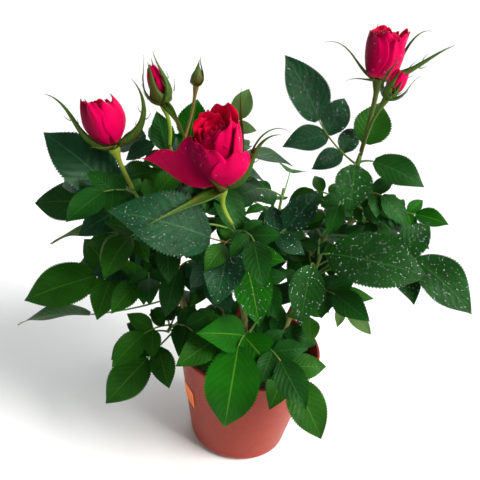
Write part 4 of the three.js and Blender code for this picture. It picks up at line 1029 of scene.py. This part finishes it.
def leafletFrame(root, forward, length, light, tilt, broad):
    side = forward.cross(light).normalized()
    side.rotate(Matrix.Rotation(math.radians(tilt), 3, forward))
    return {"root": root, "forward": forward, "side": side, "face": side.cross(forward), "length": length,
            "broad": broad}


def leafletPoint(leaflet, along, across, height=0):
    rise = leafShape["arch"] * 4 * along * (1 - along) + leafShape["fold"] * abs(across)
    return (leaflet["root"] + leaflet["forward"] * along * leaflet["length"]
            + leaflet["side"] * across * leaflet["length"]
            + leaflet["face"] * (rise * leaflet["length"] + height))


def planLeaf(root, leaf, light, pairTurn=0):
    head, rise, reach, blade = leaf["head"], leaf["rise"], leaf["reach"], leaf["blade"]
    tilt, broad = leaf.get("tilt", 0), leaf.get("broad", leafShape["broad"])
    fine = 12

    def wayAt(share):
        return direction(mix(head[0], head[1], share), mix(rise[0], rise[1], share))
    points = [root.copy()]
    for i in range(fine):
        points.append(points[i] + wayAt((i + 0.5) / fine) * (reach / fine))

    def stalkAt(share):
        whole = min(fine - 1, math.floor(share * fine))
        return points[whole].lerp(points[whole + 1], share * fine - whole)
    leaflets = [leafletFrame(stalkAt(1), direction(head[1], rise[2]), blade, light, tilt, broad)]
    for pair in sidePairs[:leaf["pairs"]]:
        place = max(0.3, 1 - pair["back"] * blade / reach)
        for hand in (1, -1):
            along = wayAt(place)
            level = along.cross(light).normalized()
            turn = math.radians(pair["angle"] + hand * pairTurn)
            away = (along * math.cos(turn) + level * (hand * math.sin(turn)) - up * 0.15).normalized()
            leaflets.append(leafletFrame(stalkAt(place), away, pair["size"] * blade, light, tilt, broad))
    return {"points": points, "leaflets": leaflets}


def grownLeaves(grown, seed):
    dice = makeDice(seed)

    def vary(middle, spread):
        return middle + (dice() - 0.5) * spread
    leaves = []
    for i in range(grown["count"]):
        at = mix(grown["from"], grown["to"], i / (grown["count"] - 1) if grown["count"] > 1 else 0)
        heading = vary(grown["firstHead"] + turnPerLeaf * i, 40)
        bend = vary(0, 40)
        foot = vary(35, 30)
        end = vary(-5, 40)
        hang = vary(-20, 30)
        size = vary(1, 0.3)
        tilt = vary(0, 30)
        leaves.append({"at": at, "head": (heading, heading + bend), "rise": (foot, end, end + hang),
                       "reach": grown["reach"] * size, "blade": grown["blade"] * size, "pairs": 2,
                       "tilt": tilt})
    return leaves


# leaves
bladeOutline = [(0.05, 0.45), (0.24, 0.9), (0.6, 0.88), (0.85, 0.45), (1, 0), (0.85, -0.45), (0.6, -0.88),
                (0.24, -0.9), (0.05, -0.45)]


def bladeRoom(leaflet, height):  # a flat fan in the leaf's outline, for the search for room
    corners = [leafletPoint(leaflet, along, across * leaflet["broad"] / 2, height)
               for along, across in bladeOutline]
    return corners, [(0, k, k + 1) for k in range(1, len(corners) - 1)]


def roomOf(leaflet):
    corners, faces = bladeRoom(leaflet, 0)
    middle = leaflet["root"] + leaflet["forward"] * leaflet["length"] * 0.5
    return {"tree": BVHTree.FromPolygons(corners, faces), "middle": middle, "reach": leaflet["length"] * 0.55}


def isFree(leaflet, taken):
    middle = leaflet["root"] + leaflet["forward"] * leaflet["length"] * 0.5
    reach = leaflet["length"] * 0.55
    near = [other for other in taken if (other["middle"] - middle).length < other["reach"] + reach]
    for height in (-leafShape["clearance"], 0, leafShape["clearance"]):
        tree = BVHTree.FromPolygons(*bladeRoom(leaflet, height))
        if any(tree.overlap(other["tree"]) for other in near):
            return False
    return True


def halfWidth(share):  # of a leaf's outline, where 1 is the widest
    return math.sin(math.pi * share ** 0.78) ** (0.6 + 0.4 * share)


def addLeaflet(bag, leaflet, dice, slot):
    length, broad = leaflet["length"], leaflet["broad"] / 2
    steps = max(7, min(15, round(length / 3.6)))
    if dice:
        leaflet["looks"] = (dice() * 6.28, (dice() - 0.5) * 0.3, (dice() - 0.5) * 0.08, 0.6 + 0.9 * dice())
    phase, twist, curl, sag = leaflet["looks"]
    sag *= leafShape["sagTip"]

    def pointAt(share, sideways):
        across = sideways * broad * halfWidth(max(0.012, min(0.995, share)))
        rise = leafShape["arch"] * 4 * share * (1 - share)
        rise += leafShape["fold"] * abs(across) * (1.15 - abs(sideways) * 0.3)
        wave = math.sin(9 * share + phase * (1 if sideways > 0 else 2))
        rise += leafShape["ripple"] * wave * sideways * sideways
        rise += twist * across * share - sag * share ** 3
        slip = curl * share * share
        return (leaflet["root"] + leaflet["forward"] * share * length
                + leaflet["side"] * (across + slip) * length
                + leaflet["face"] * rise * length)
    corners, maps, faces = [], [], []
    lanes = (-leafShape["toothIn"], -0.5, 0, 0.5, leafShape["toothIn"])
    for i in range(steps):
        share = i / steps
        for lane in lanes:
            corners.append(pointAt(share, lane))
            maps.append((0.5 + lane / 2, share))
    tip = len(corners)
    corners.append(pointAt(1, 0))
    maps.append((0.5, 1))
    for i in range(steps - 1):
        for k in range(4):
            a = 5 * i + k
            faces.append((a, a + 1, a + 6, a + 5))
    for k in range(4):
        faces.append((tip - 5 + k, tip - 4 + k, tip))
    for i in range(1, steps):  # two teeth on each stretch of both edges
        for lane, edge in ((-1, 0), (1, 4)):
            a = 5 * i + edge
            b = tip if i == steps - 1 else a + 5
            middle = len(corners)
            corners.append((corners[a] + corners[b]) / 2)
            corners.append(pointAt((i + 0.4) / steps, lane * leafShape["toothOut"]))
            corners.append(pointAt(min(0.995, (i + 0.9) / steps), lane * leafShape["toothOut"]))
            maps += [(0.5 + lane / 2, (i + part) / steps) for part in (0.5, 0.4, 0.9)]
            for start, tooth, end in ((a, middle + 1, middle), (middle, middle + 2, b)):
                faces.append((start, tooth, end) if lane > 0 else (start, end, tooth))
    addFaces(bag, corners, faces, slot, maps)


# shoots
limbs = {}
for limbName, cane in canes.items():
    limbs[limbName] = layLimb(cane, cane["radius"])
limbs["spur"] = layLimb(spur, spur["radius"], limbs[spur["parent"]])
waiting = list(shoots)
while waiting:
    limbName = waiting.pop(0)
    if shoots[limbName]["parent"] in limbs:
        limbs[limbName] = layLimb(shoots[limbName], shootRadius, limbs[shoots[limbName]["parent"]])
    else:
        waiting.append(limbName)

extraLeaves = {"perShoot": 7, "reach": 0.8, "blade": 0.8, "seedStep": 50}
tintShares = {"low": ("mid", "dark", "mid", "dark"), "front": ("dark", "mid", "dark", "blue_sheen", "mid"),
              "back": ("mid", "dark", "mid", "bright", "blue_sheen")}
tints = list(leafMaterials)
leafBags = {tint: newBag() for tint in tints}
wetBag = newBag()
twigBag = newBag()
taken = []


def stemRoom(limb):
    points = [limb["pointAt"](i / 8) for i in range(9)]
    radii = [mix(limb["radii"][0], limb["radii"][1], i / 8) for i in range(9)]
    bag = newBag()
    skin(bag, tubeRings(points, radii, 5))
    middle = (points[0] + points[-1]) * 0.5
    return {"tree": BVHTree.FromPolygons(bag["corners"], bag["faces"]), "middle": middle,
            "reach": (points[0] - middle).length + 4}


def addTwig(points):
    radii = [mix(leafShape["stalkFrom"], leafShape["stalkTo"], i / (len(points) - 1))
             for i in range(len(points))]
    radii[0] *= 1.5
    skin(twigBag, tubeRings(points, radii, 6))


def growLeaf(plan, leaflets, tint, wet, dice):
    tint = "wet_" + tint if wet else tint
    addTwig(plan["points"])
    for leaflet in leaflets:
        addLeaflet(leafBags[tint], leaflet, dice, 0)
        if wet:
            addLeaflet(wetBag, leaflet, None, 0)
        taken.append(roomOf(leaflet))


def tintChoices(name):
    low = name in ("foliage_front", "foliage_left_low", "foliage_right_low")
    return tintShares["back" if "back" in name else "low" if low else "front"]


def growShoots():
    counts = {}
    for name, shoot in shoots.items():
        limb = limbs[name]
        light = lightFrom["back" if "back" in name else "front"]
        dice = makeDice(shoot["seed"] + 7)
        choices = tintChoices(name)
        for leaf in shoot["leaves"]:
            plan = planLeaf(limb["pointAt"](leaf["at"]), leaf, light)
            found = [foundRoom(name, leaflet) for leaflet in plan["leaflets"]]
            if "pairTurn" in leaf:
                plan = planLeaf(limb["pointAt"](leaf["at"]), leaf, light, leaf["pairTurn"])
            leaflets = [leaflet for leaflet, kept in zip(plan["leaflets"], found) if kept]
            if found[0]:
                growLeaf(plan, leaflets, leaf["tint"], leaf.get("wet"), dice)
                counts[name] = counts.get(name, 0) + 1
        for i, leaf in enumerate(grownLeaves(shoot["grown"], shoot["seed"])):
            for turn in secondTries:
                turned = dict(leaf, head=(leaf["head"][0] + turn, leaf["head"][1] + turn))
                plan = planLeaf(limb["pointAt"](leaf["at"]), turned, light)
                if foundRoom(name, plan["leaflets"][0]):
                    leaflets = [leaflet for leaflet in plan["leaflets"] if foundRoom(name, leaflet)]
                    growLeaf(plan, leaflets, choices[i % len(choices)], False, dice)
                    counts[name] = counts.get(name, 0) + 1
                    break
    print("leaves that the frame has:", sum(counts.values()))


def growFiner():  # more small leaves by the same rule, in the room that is left
    for limb in limbs.values():
        taken.append(stemRoom(limb))
    added = 0
    for name, shoot in shoots.items():
        limb = limbs[name]
        light = lightFrom["back" if "back" in name else "front"]
        low, high = (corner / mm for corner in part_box(name))
        seed = shoot["seed"] + extraLeaves["seedStep"]
        dice = makeDice(seed + 7)
        more = dict(shoot["grown"], count=extraLeaves["perShoot"],
                    reach=shoot["grown"]["reach"] * extraLeaves["reach"],
                    blade=shoot["grown"]["blade"] * extraLeaves["blade"],
                    firstHead=shoot["grown"]["firstHead"] + 60)
        for i, leaf in enumerate(grownLeaves(more, seed)):
            for turn in secondTries:
                turned = dict(leaf, head=(leaf["head"][0] + turn, leaf["head"][1] + turn))
                plan = planLeaf(limb["pointAt"](leaf["at"]), turned, light)
                tips = [one["root"] + one["forward"] * one["length"] for one in plan["leaflets"]]
                inside = all(low[k] < tip[k] < high[k] for tip in tips for k in range(3))
                free = [one for one in plan["leaflets"] if not inOpening(one) and isFree(one, taken)]
                if inside and free and free[0] is plan["leaflets"][0] and len(free) > 2:
                    choices = tintChoices(name)
                    growLeaf(plan, free, choices[(i + 1) % len(choices)], False, dice)
                    added += 1
                    break
    print("finer leaves added:", added)


def addShootStem(name):
    limb = limbs[name]
    steps = 26
    joints = [leaf["at"] for leaf in shoots[name]["leaves"]]
    points = [limb["pointAt"](i / steps) for i in range(steps + 1)]
    radii = []
    for i in range(steps + 1):
        share = i / steps
        swell = sum(math.exp(-((share - joint) * 26) ** 2) for joint in joints)
        radii.append(mix(limb["radii"][0], limb["radii"][1], share) * (0.86 + 0.3 * swell))
    skin(twigBag, tubeRings(points, radii, 10))


growShoots()
growFiner()
for limbName in shoots:
    addShootStem(limbName)
foliageNodes = sorted(shoots)
for tint, bag in leafBags.items():
    leafPiece = makePiece(f"leaves_{tint}", bag, [leafMaterials[tint]])
    finishPiece(leafPiece, foliageNodes)
    print(f"leaves_{tint}:", len(bag["faces"]), "faces")
twigPiece = makePiece("green_twigs", twigBag, [stemMaterials["twig"]])
finishPiece(twigPiece, foliageNodes)

# drops of water on the wet leaves
wetGround = makePiece("wet_ground", wetBag, [])
drops = scatter("water_drops", wetGround, "drop", waterFinish,
                {"Density": 120000, "Smallest": 0.00015, "Largest": 0.0008, "Seed": 8, "Lowest": 0})
bpy.data.objects.remove(wetGround)
finishPiece(drops, foliageNodes)
print("water_drops:", len(drops.data.polygons), "faces")
print("leaves and drops made")


# canes with their bark
caneLook = {"steps": 70, "sides": 18, "ridge": 0.22, "knot": 0.5, "prickleDensity": 2600}


def barkRelief(place):
    ridges = noise.noise(Vector((place.x * 0.5, place.y * 0.5, place.z * 0.06)))
    rough = noise.noise(place * 0.6)
    return caneLook["ridge"] * (ridges + 0.5 * rough)


def makeCanes():
    bag = newBag()
    for name in [*canes, "spur"]:
        limb = limbs[name]
        steps = caneLook["steps"] if name in canes else 24
        joints = [shoot["at"] for shoot in shoots.values() if shoot["parent"] == name and shoot["at"] < 1]
        joints += [0.12, 0.34, 0.8] if name in canes else [0.5]
        points, radii = [], []
        for i in range(steps + 1):
            share = i / steps
            knot = sum(math.exp(-((share - joint) * 40) ** 2) for joint in joints)
            points.append(limb["pointAt"](share))
            radii.append(mix(limb["radii"][0], limb["radii"][1], share) * 0.97 + caneLook["knot"] * knot)
        if name in canes:
            points[0].z = compost["level"] + 0.3
        rings = tubeRings(points, radii, caneLook["sides"], barkRelief)
        if name in canes:
            rings[0] = [Vector((corner.x, corner.y, compost["level"] - 1)) for corner in rings[0]]
        skin(bag, rings)
    piece = makePiece("cane_bark", bag, [stemMaterials["bark"]])
    names = sorted([*canes, "spur"])
    prickles = scatter("prickles", piece, "prickle", stemMaterials["bark"],
                       {"Density": caneLook["prickleDensity"], "Smallest": 0.0008, "Largest": 0.0015,
                        "Seed": 3,
                        "Lowest": (compost["level"] + 6) * mm})
    finishPiece(piece, names)
    finishPiece(prickles, names)


makeCanes()
print("canes made")

# flowers
stalkRadius = (1.4, 1.7)
hipLength = 13

# Where a petal has painted shade, its entry gives where across the petal (-1 to 1) the shade is darkest, how
# wide it spreads, and how strong it is.
flowers = {
    "rose_left": {
        "parent": "foliage_left_top", "at": 1, "base": (-114, -20, 258), "lean": 24, "toward": 180,
        "hip": 4.6,
        "stalk": "stalk", "sepalWide": 1.9,
        "heart": {"spread": (4, 16, 7), "height": 30, "turn": 30, "petals": 9, "half": 70, "core": 0.98,
                  "rollAngle": 10, "ruffle": 0.3, "slope": 0.06, "highSide": 190},
        "outer": [
            {"turn": 95, "half": 72, "spread": (4, 19, 9), "height": 30, "rollAngle": 14,
             "bumps": [(-0.88, 0.15, 0.08), (0.3, 0.12, 0.06)]},
            {"turn": 226, "half": 76, "spread": (4, 21.5, 8), "height": 33, "tipDrop": 0.04, "rollAngle": 10,
             "crease": 2.4, "creaseAt": 0.63, "paintedShade": (0.12, 0.42, 1),
             "bumps": [(-0.1, 0.05, 0.1), (0.2, 0.06, 0.05), (0.56, 0.1, 0.13), (-0.5, 0.1, 0.05)]},
            {"turn": 345, "half": 58, "spread": (4.4, 22, 11.5), "height": 28.5, "tipDrop": 0.02,
             "rollAngle": 12,
             "crease": 1, "bumps": [(0.4, 0.07, 0.14), (-0.75, 0.2, 0.09), (0.8, 0.1, 0.05)]},
        ],
        "sepals": [
            {"around": 188, "out": (78, 8, 66), "length": 60, "width": 6, "twist": 62},
            {"around": 0, "out": (85, 32, -28), "length": 58, "width": 6, "twist": -60},
            {"around": 250, "out": (75, 60, 70), "length": 22, "width": 5},
            {"around": 110, "out": (65, 45, 40), "length": 26, "width": 5},
            {"around": 310, "out": (80, 70, 90), "length": 20, "width": 5},
        ],
    },
    "rose_bud_tall": {
        "parent": "foliage_buds", "at": 1, "base": (-86, 10, 285), "lean": 22, "toward": 180, "hip": 3.4,
        "stalk": "stalk", "sepalWide": 2.9, "slim": 0.85,
        "heart": {"spread": (2.5, 11, 2), "height": 26, "turn": 0, "petals": 6, "half": 85, "core": 0.95,
                  "rollAngle": 6, "ruffle": 0.1, "slope": 0, "highSide": 0},
        "outer": [],
        "sepals": [
            {"around": 195, "out": (72, -14, -12), "length": 42, "width": 5, "twist": 0},
            {"around": 258, "out": (72, -14, -4), "length": 36, "width": 6, "twist": 0},
            {"around": 335, "out": (72, -12, 12), "length": 42, "width": 5, "twist": 0},
            {"around": 90, "out": (75, -8, 20), "length": 36, "width": 5},
            {"around": 300, "out": (95, 150, 165), "length": 44, "width": 2.4},
        ],
    },
    "rose_bud_green": {
        "parent": "foliage_buds", "at": 0.8, "base": (-66, 40, 295), "lean": 3, "toward": 0, "hip": 2.6,
        "stalk": "redStalk", "sepalWide": 1.9, "slim": 0.75, "closed": True,
        "heart": {"radius": 5.2, "height": 12},
        "outer": [],
        "sepals": [
            {"around": 10, "out": (60, -20, 10), "length": 24, "width": 4.5},
            {"around": 130, "out": (60, -20, -5), "length": 21, "width": 4.5},
            {"around": 250, "out": (60, -20, -5), "length": 22, "width": 4.5},
        ],
    },
    "rose_main": {
        "parent": "foliage_centre", "at": 1, "base": (-35, -40, 246), "lean": 9, "toward": 215, "hip": 4.4,
        "stalk": "stalk", "sepalWide": 1.6, "wet": 9000, "shift": -3,
        "heart": {"spread": (5, 19, 12), "height": 43, "turn": 60, "petals": 16, "half": 62, "core": 0.95,
                  "rollAngle": 45, "ruffle": 0.9, "slope": 0.22, "highSide": 40},
        "outer": [
            {"turn": 95, "half": 58, "spread": (4.5, 22, 13), "height": 47, "rollAngle": 35,
             "bumps": [(0.85, 0.12, 0.07), (0.4, 0.1, 0.05), (-0.2, 0.1, 0.05)]},
            {"turn": 170, "half": 52, "spread": (4.5, 22, 14), "height": 34, "rollAngle": 50},
            {"turn": 15, "half": 58, "spread": (4.5, 24, 14), "height": 44, "rollAngle": 24,
             "bumps": [(-0.8, 0.12, 0.07), (0.5, 0.12, 0.05)]},
            {"turn": 232, "half": 62, "spread": (5, 28, 23), "height": 37, "flare": 27, "wave": 0.02,
             "waves": 13,
             "ruffle": 1.0, "rollAngle": 26, "phase": 2, "tipDrop": 0.1, "paintedShade": (0.15, 0.6, 1),
             "spiral": -1.5,
             "bumps": [(0.08, 0.24, 0.12), (-0.3, 0.09, -0.05), (-0.42, 0.06, 0.05), (-0.62, 0.12, 0.06)]},
            {"turn": 312, "half": 48, "spread": (4.8, 28, 21), "height": 30, "rollAngle": 22, "tipDrop": 0.18,
             "spiral": -0.8, "paintedShade": (-0.5, 0.6, 0.35)},
        ],
        "sepals": [
            {"around": 229, "out": (93, 90, 98), "length": 62, "width": 7, "twist": -35},
            {"around": 350, "out": (80, 20, 100), "length": 60, "width": 7, "twist": -60},
            {"around": 12, "out": (75, 24, 150), "length": 66, "width": 4},
            {"around": 52, "out": (75, 2, 14), "length": 72, "width": 6},
            {"around": 285, "out": (85, 10, 0), "length": 34, "width": 6, "sway": -0.8, "twist": 0},
        ],
    },
    "rose_right": {
        "parent": "foliage_right_top", "at": 1, "base": (60, -5, 323), "lean": 1, "toward": 180, "hip": 4.4,
        "stalk": "darkStalk", "sepalWide": 1.9, "wet": 14000,
        "heart": {"spread": (6, 12, 9), "height": 29.5, "turn": 250, "petals": 9, "half": 70, "core": 0.99,
                  "rollAngle": 10, "ruffle": 0.4, "slope": 0.05, "highSide": 140},
        "outer": [
            {"turn": 95, "half": 66, "spread": (7, 14, 11), "height": 30, "rollAngle": 14,
             "bumps": [(0.3, 0.3, 0.06)]},
            {"turn": 200, "half": 74, "spread": (8.5, 14.5, 12), "height": 27.5, "tipDrop": 0.05,
             "rollAngle": 6,
             "crease": 1.4, "creaseAt": 0.62, "paintedShade": (0.05, 0.5, 1),
             "bumps": [(-0.6, 0.12, 0.06), (0.75, 0.14, -0.06)]},
            {"turn": 354, "half": 62, "spread": (7, 13, 13.5), "height": 29.5, "tipDrop": 0.05,
             "rollAngle": 22,
             "crease": -0.6, "bumps": [(0.75, 0.15, 0.1)]},
            {"turn": 286, "half": 48, "spread": (8.5, 15, 12), "height": 24.5, "rollAngle": 10,
             "tipDrop": 0.06,
             "crease": 0.8, "bumps": [(-0.85, 0.15, 0.07)], "paintedShade": (-0.5, 0.45, 0.35)},
        ],
        "sepals": [
            {"around": 185, "out": (72, 45, 120), "length": 46, "width": 3.4},
            {"around": 205, "out": (90, 85, 120), "length": 24, "width": 4},
            {"around": 352, "out": (75, 48, 62), "length": 50, "width": 6, "twist": -50},
            {"around": 25, "out": (65, 25, 110), "length": 50, "width": 3},
            {"around": 100, "out": (75, 40, 40), "length": 34, "width": 5},
        ],
    },
    "rose_bud_right": {
        "parent": "foliage_right_top", "at": 0.9, "base": (63, -31, 317), "lean": 20, "toward": 340,
        "hip": 2.6,
        "stalk": "darkStalk", "sepalWide": 2.3, "slim": 0.65,
        "heart": {"spread": (2.6, 9, 3.4), "height": 16.5, "turn": 0, "petals": 7, "half": 80, "core": 0.95,
                  "rollAngle": 10, "ruffle": 0.2, "slope": 0, "highSide": 0},
        "outer": [],
        "sepals": [
            {"around": 232, "out": (72, -5, -5), "length": 23, "width": 5, "twist": 0, "lobes": True},
            {"around": 340, "out": (76, 5, 35), "length": 26, "width": 4.5, "twist": 0, "lobes": True},
            {"around": 100, "out": (76, 0, 15), "length": 24, "width": 4.5},
            {"around": 165, "out": (74, -5, 10), "length": 30, "width": 4.5, "lobes": True},
            {"around": 288, "out": (76, 0, 0), "length": 18, "width": 4, "twist": 0, "lobes": True},
        ],
    },
}



def flowerAxes(flower):
    axis = direction(flower["toward"], 90 - flower["lean"])
    right = (Vector((1, 0, 0)) - axis * axis.x).normalized()
    back = axis.cross(right)

    def away(turn):
        return right * math.cos(math.radians(turn)) + back * math.sin(math.radians(turn))

    def at(turn, radius, height):
        shift = right * (flower.get("shift", 0) * smoothStep(0, 32, height))
        return Vector(flower["base"]) + axis * height + away(turn) * radius + shift
    return {"axis": axis, "away": away, "at": at}


def bell(value):
    return math.exp(-value * value)


def addPetal(bag, axes, petal):
    across, along = petal["grid"]
    rollFrom = petal["rollFrom"]

    def spot(u, v):
        wrap = petal["half"] * bend3((0.55, 1.35, 0.75), v)
        rim = 1 - petal["tipDrop"] * u * u + petal["wave"] * math.sin(petal["waves"] * u + petal["phase"])
        for place, wide, lift in petal["bumps"]:
            rim += lift * bell((u - place) / wide)
        tall = petal["height"] * mix(1, rim, smoothStep(0.25, 1, v))
        rolled = max(0, (v - rollFrom) / (1 - rollFrom))
        angle = math.radians(petal["rollAngle"]) * (0.25 + 0.75 * abs(u) ** 1.4) + 0.01
        rollRadius = tall * (1 - rollFrom) / angle
        height = 0.6 + tall * min(v, rollFrom) + rollRadius * math.sin(angle * rolled)
        flare = petal["flare"] * max(0, -u) ** 1.2
        flare *= math.sqrt(v)
        radius = bend3(petal["spread"], v) + flare + petal["spiral"] * u * (0.3 + 0.7 * v)
        radius += rollRadius * (1 - math.cos(angle * rolled))
        radius += petal["crease"] * bell((u - petal["creaseAt"]) / 0.09) * v
        radius += petal["ruffle"] * math.sin(petal["waves"] * 1.4 * u + 2 * petal["phase"]) * v ** 3
        return axes["at"](petal["turn"] + u * wrap, max(0.3, radius), height - 0.5 * flare)
    corners, maps, shades, faces = [], [], [], []
    # Painted shade across the petal: darkest at one place across it and fading to either side, for the
    # heart's shadow and the side away from the light.
    paintedShadeAt, paintedShadeWide, paintedShade = petal["paintedShade"]
    for j in range(along + 1):
        for i in range(across + 1):
            u, v = 2 * i / across - 1, j / along
            corners.append(spot(u, v))
            maps.append((i / across, v))
            shades.append(paintedShade * bell((u - paintedShadeAt) / paintedShadeWide))
    row = across + 1
    for j in range(along):
        for i in range(across):
            a = j * row + i
            faces.append((a, a + 1, a + row + 1, a + row))
    addFaces(bag, corners, faces, 0, maps, shades)


def addHeart(bag, axes, flower, dice):
    heart = flower["heart"]
    count = heart["petals"]
    for i in range(count):
        share = i / max(1, count - 1)
        size = mix(0.13, 1, share ** 0.75)
        turn = heart["turn"] + 137.5 * (count - 1 - i)
        high = 1 + heart["slope"] * math.cos(math.radians(turn - heart["highSide"])) * share
        spread = (heart["spread"][0] * mix(0.3, 1, share), heart["spread"][1] * size,
                  heart["spread"][2] * size)
        addPetal(bag, axes, {
            "turn": turn, "half": mix(130, heart["half"], share ** 0.6), "spread": spread,
            "height": heart["height"] * high * mix(heart["core"], 1, share) * (0.96 + 0.06 * dice()),
            "tipDrop": 0.12, "spiral": mix(0.5, 1.3, share), "rollFrom": 0.7,
            "rollAngle": heart["rollAngle"] * share ** 1.3, "wave": 0.02 + 0.015 * share, "waves": 6,
            "ruffle": 0.2 + heart["ruffle"] * share, "phase": 6.28 * dice(),
            "bumps": [(0, 0.2, 0.03 * share)],
            "crease": 0, "creaseAt": 0, "flare": 0, "paintedShade": (0, 1, 0), "grid": (16, 14)})


def addSepal(bag, axes, flower, sepal, dice):
    steps = 26
    radial = axes["away"](sepal["around"])
    side = axes["axis"].cross(radial)
    point = axes["at"](sepal["around"], 0.5 * flower["hip"], -2.4)
    width = sepal["width"] * flower["sepalWide"]
    rings, spine = [], []
    for i in range(steps + 1):
        share = i / steps
        turn = math.radians(pass3(sepal["out"], share))
        along = axes["axis"] * math.cos(turn) + radial * math.sin(turn)
        outer = radial * math.cos(turn) - axes["axis"] * math.sin(turn)
        along = (along + side * (sepal.get("sway", 0) * min(1, 2 * share))).normalized()
        twisted = Matrix.Rotation(math.radians(sepal.get("twist", 18) * (0.6 + share)), 3, along)
        edge, outer = twisted @ side, twisted @ outer
        swell = 0.72 + 0.28 * math.sin(math.pi * min(1, share / 0.45))
        half = width / 2 * swell * (1 - share) ** 1.15 + 0.25 * (1 - share) + 0.1
        deep = 0.34 * (1 - 0.6 * share)
        cup = 0.4 * half * (1 - 0.5 * share)
        ring = []
        for across, lift in ((1, 0), (0.5, 0.6), (0, 1), (-0.5, 0.6), (-1, 0), (-0.5, -0.3), (0, -0.2),
                             (0.5, -0.3)):
            ring.append(point + edge * (across * half) + outer * (deep * lift - cup * across * across))
        rings.append(ring)
        spine.append((point.copy(), along.copy(), edge.copy(), half))
        point = point + along * (sepal["length"] / steps)
    skin(bag, rings)
    if not sepal.get("lobes", sepal["width"] >= 4.5 and sepal["length"] >= 40):
        return
    for place, hand in ((0.28, 1), (0.4, -1), (0.52, 1), (0.6, -1)):  # slim side lobes
        foot, along, edge, half = spine[int(place * steps)]
        reach = half + sepal["width"] * (0.35 + 0.4 * dice())
        points, radii = [], []
        for k in range(6):
            part = k / 5
            points.append(foot + edge * hand * (half * 0.8 + (reach - half) * part * (1.2 - 0.4 * part))
                          + along * reach * (0.2 * part + 0.7 * part * part))
            radii.append(mix(0.42, 0.1, part))
        skin(bag, tubeRings(points, radii, 5))


def closedBudRings(axes, heart):  # a closed bud: its sepals are still shut round it
    rings = []
    for i in range(15):
        share = i / 14
        belly = math.sin(math.pi * min(1, 0.12 + share * 0.98) ** 0.8)
        radius = heart["radius"] * belly * (1 - share) ** 0.35 + 0.4
        height = heart["height"] * 1.3 * share - 1
        rings.append([axes["at"](k * 20, radius * (1 + 0.05 * math.cos(math.radians(k * 60))), height)
                      for k in range(18)])
    return rings


def makeFlower(name, flower):
    axes = flowerAxes(flower)
    seat = Vector(flower["base"])
    neck = seat - axes["axis"] * hipLength
    parent = limbs[flower["parent"]]
    slim = flower.get("slim", 1)
    limb = layLimb({"at": flower["at"], "tip": neck, "bow": (0, 0, 0)}, stalkRadius, parent)
    dice = makeDice(len(name) * 31 + int(abs(flower["base"][0])))
    points, radii = [], []
    root = limb["pointAt"](0)
    span = (neck - root).length
    first, second = root + limb["wayAt"](0) * (0.15 * span), neck - axes["axis"] * (0.4 * span)
    for i in range(25):
        share = i / 24
        lower = root.lerp(first, share).lerp(first.lerp(second, share), share)
        upper = first.lerp(second, share).lerp(second.lerp(neck, share), share)
        points.append(lower.lerp(upper, share))
        radii.append(slim * mix(stalkRadius[0], stalkRadius[1], share))
    for i in range(1, 11):
        share = i / 10
        points.append(neck.lerp(seat, share))
        swell = mix(slim * stalkRadius[1], flower["hip"] * 0.9, smoothStep(0, 0.85, share) ** 1.3)
        radii.append(swell * (1 - 0.1 * smoothStep(0.85, 1, share)))
    stalkBag, sepalBag, petalBag = newBag(), newBag(), newBag()
    skin(stalkBag, tubeRings(points, radii, 16))
    for sepal in flower["sepals"]:
        addSepal(sepalBag, axes, flower, sepal, dice)
    stalkNode = f"{name}_stalk"
    finishPiece(makePiece(f"{name}_green_stalk", stalkBag, [stemMaterials[flower["stalk"]]]),
                [stalkNode])
    if flower.get("closed"):
        skin(sepalBag, closedBudRings(axes, flower["heart"]))
    finishPiece(makePiece(f"{name}_sepals", sepalBag, [stemMaterials["sepal"]]), [stalkNode])
    if flower.get("closed"):
        return
    addHeart(petalBag, axes, flower, dice)
    for outer in flower["outer"]:
        plain = {"tipDrop": 0.14, "spiral": 1.0, "rollFrom": 0.78, "rollAngle": 50, "wave": 0.03, "waves": 7,
                 "ruffle": 0.5, "phase": 6.28 * dice(), "bumps": [], "crease": 0, "creaseAt": 0, "flare": 0,
                 "paintedShade": (0, 1, 0), "grid": (26, 18)}
        addPetal(petalBag, axes, {**plain, **outer})
    petals = makePiece(f"{name}_blossom", petalBag, petalMaterials)
    if flower.get("wet"):
        beads = scatter(f"{name}_drops", petals, "drop", waterFinish,
                        {"Density": flower["wet"], "Smallest": 0.0002, "Largest": 0.0006, "Seed": 4,
                         "Lowest": 0})
        finishPiece(beads, [f"{name}_petals"])
    shell = petals.modifiers.new("thickness", "SOLIDIFY")
    shell.thickness = 0.38 * mm
    shell.offset = -1
    shell.material_offset = 1
    bakeModifiers(petals)
    finishPiece(petals, [f"{name}_petals"])


for flowerName, flowerPlan in flowers.items():
    makeFlower(flowerName, flowerPlan)
print("flowers made")
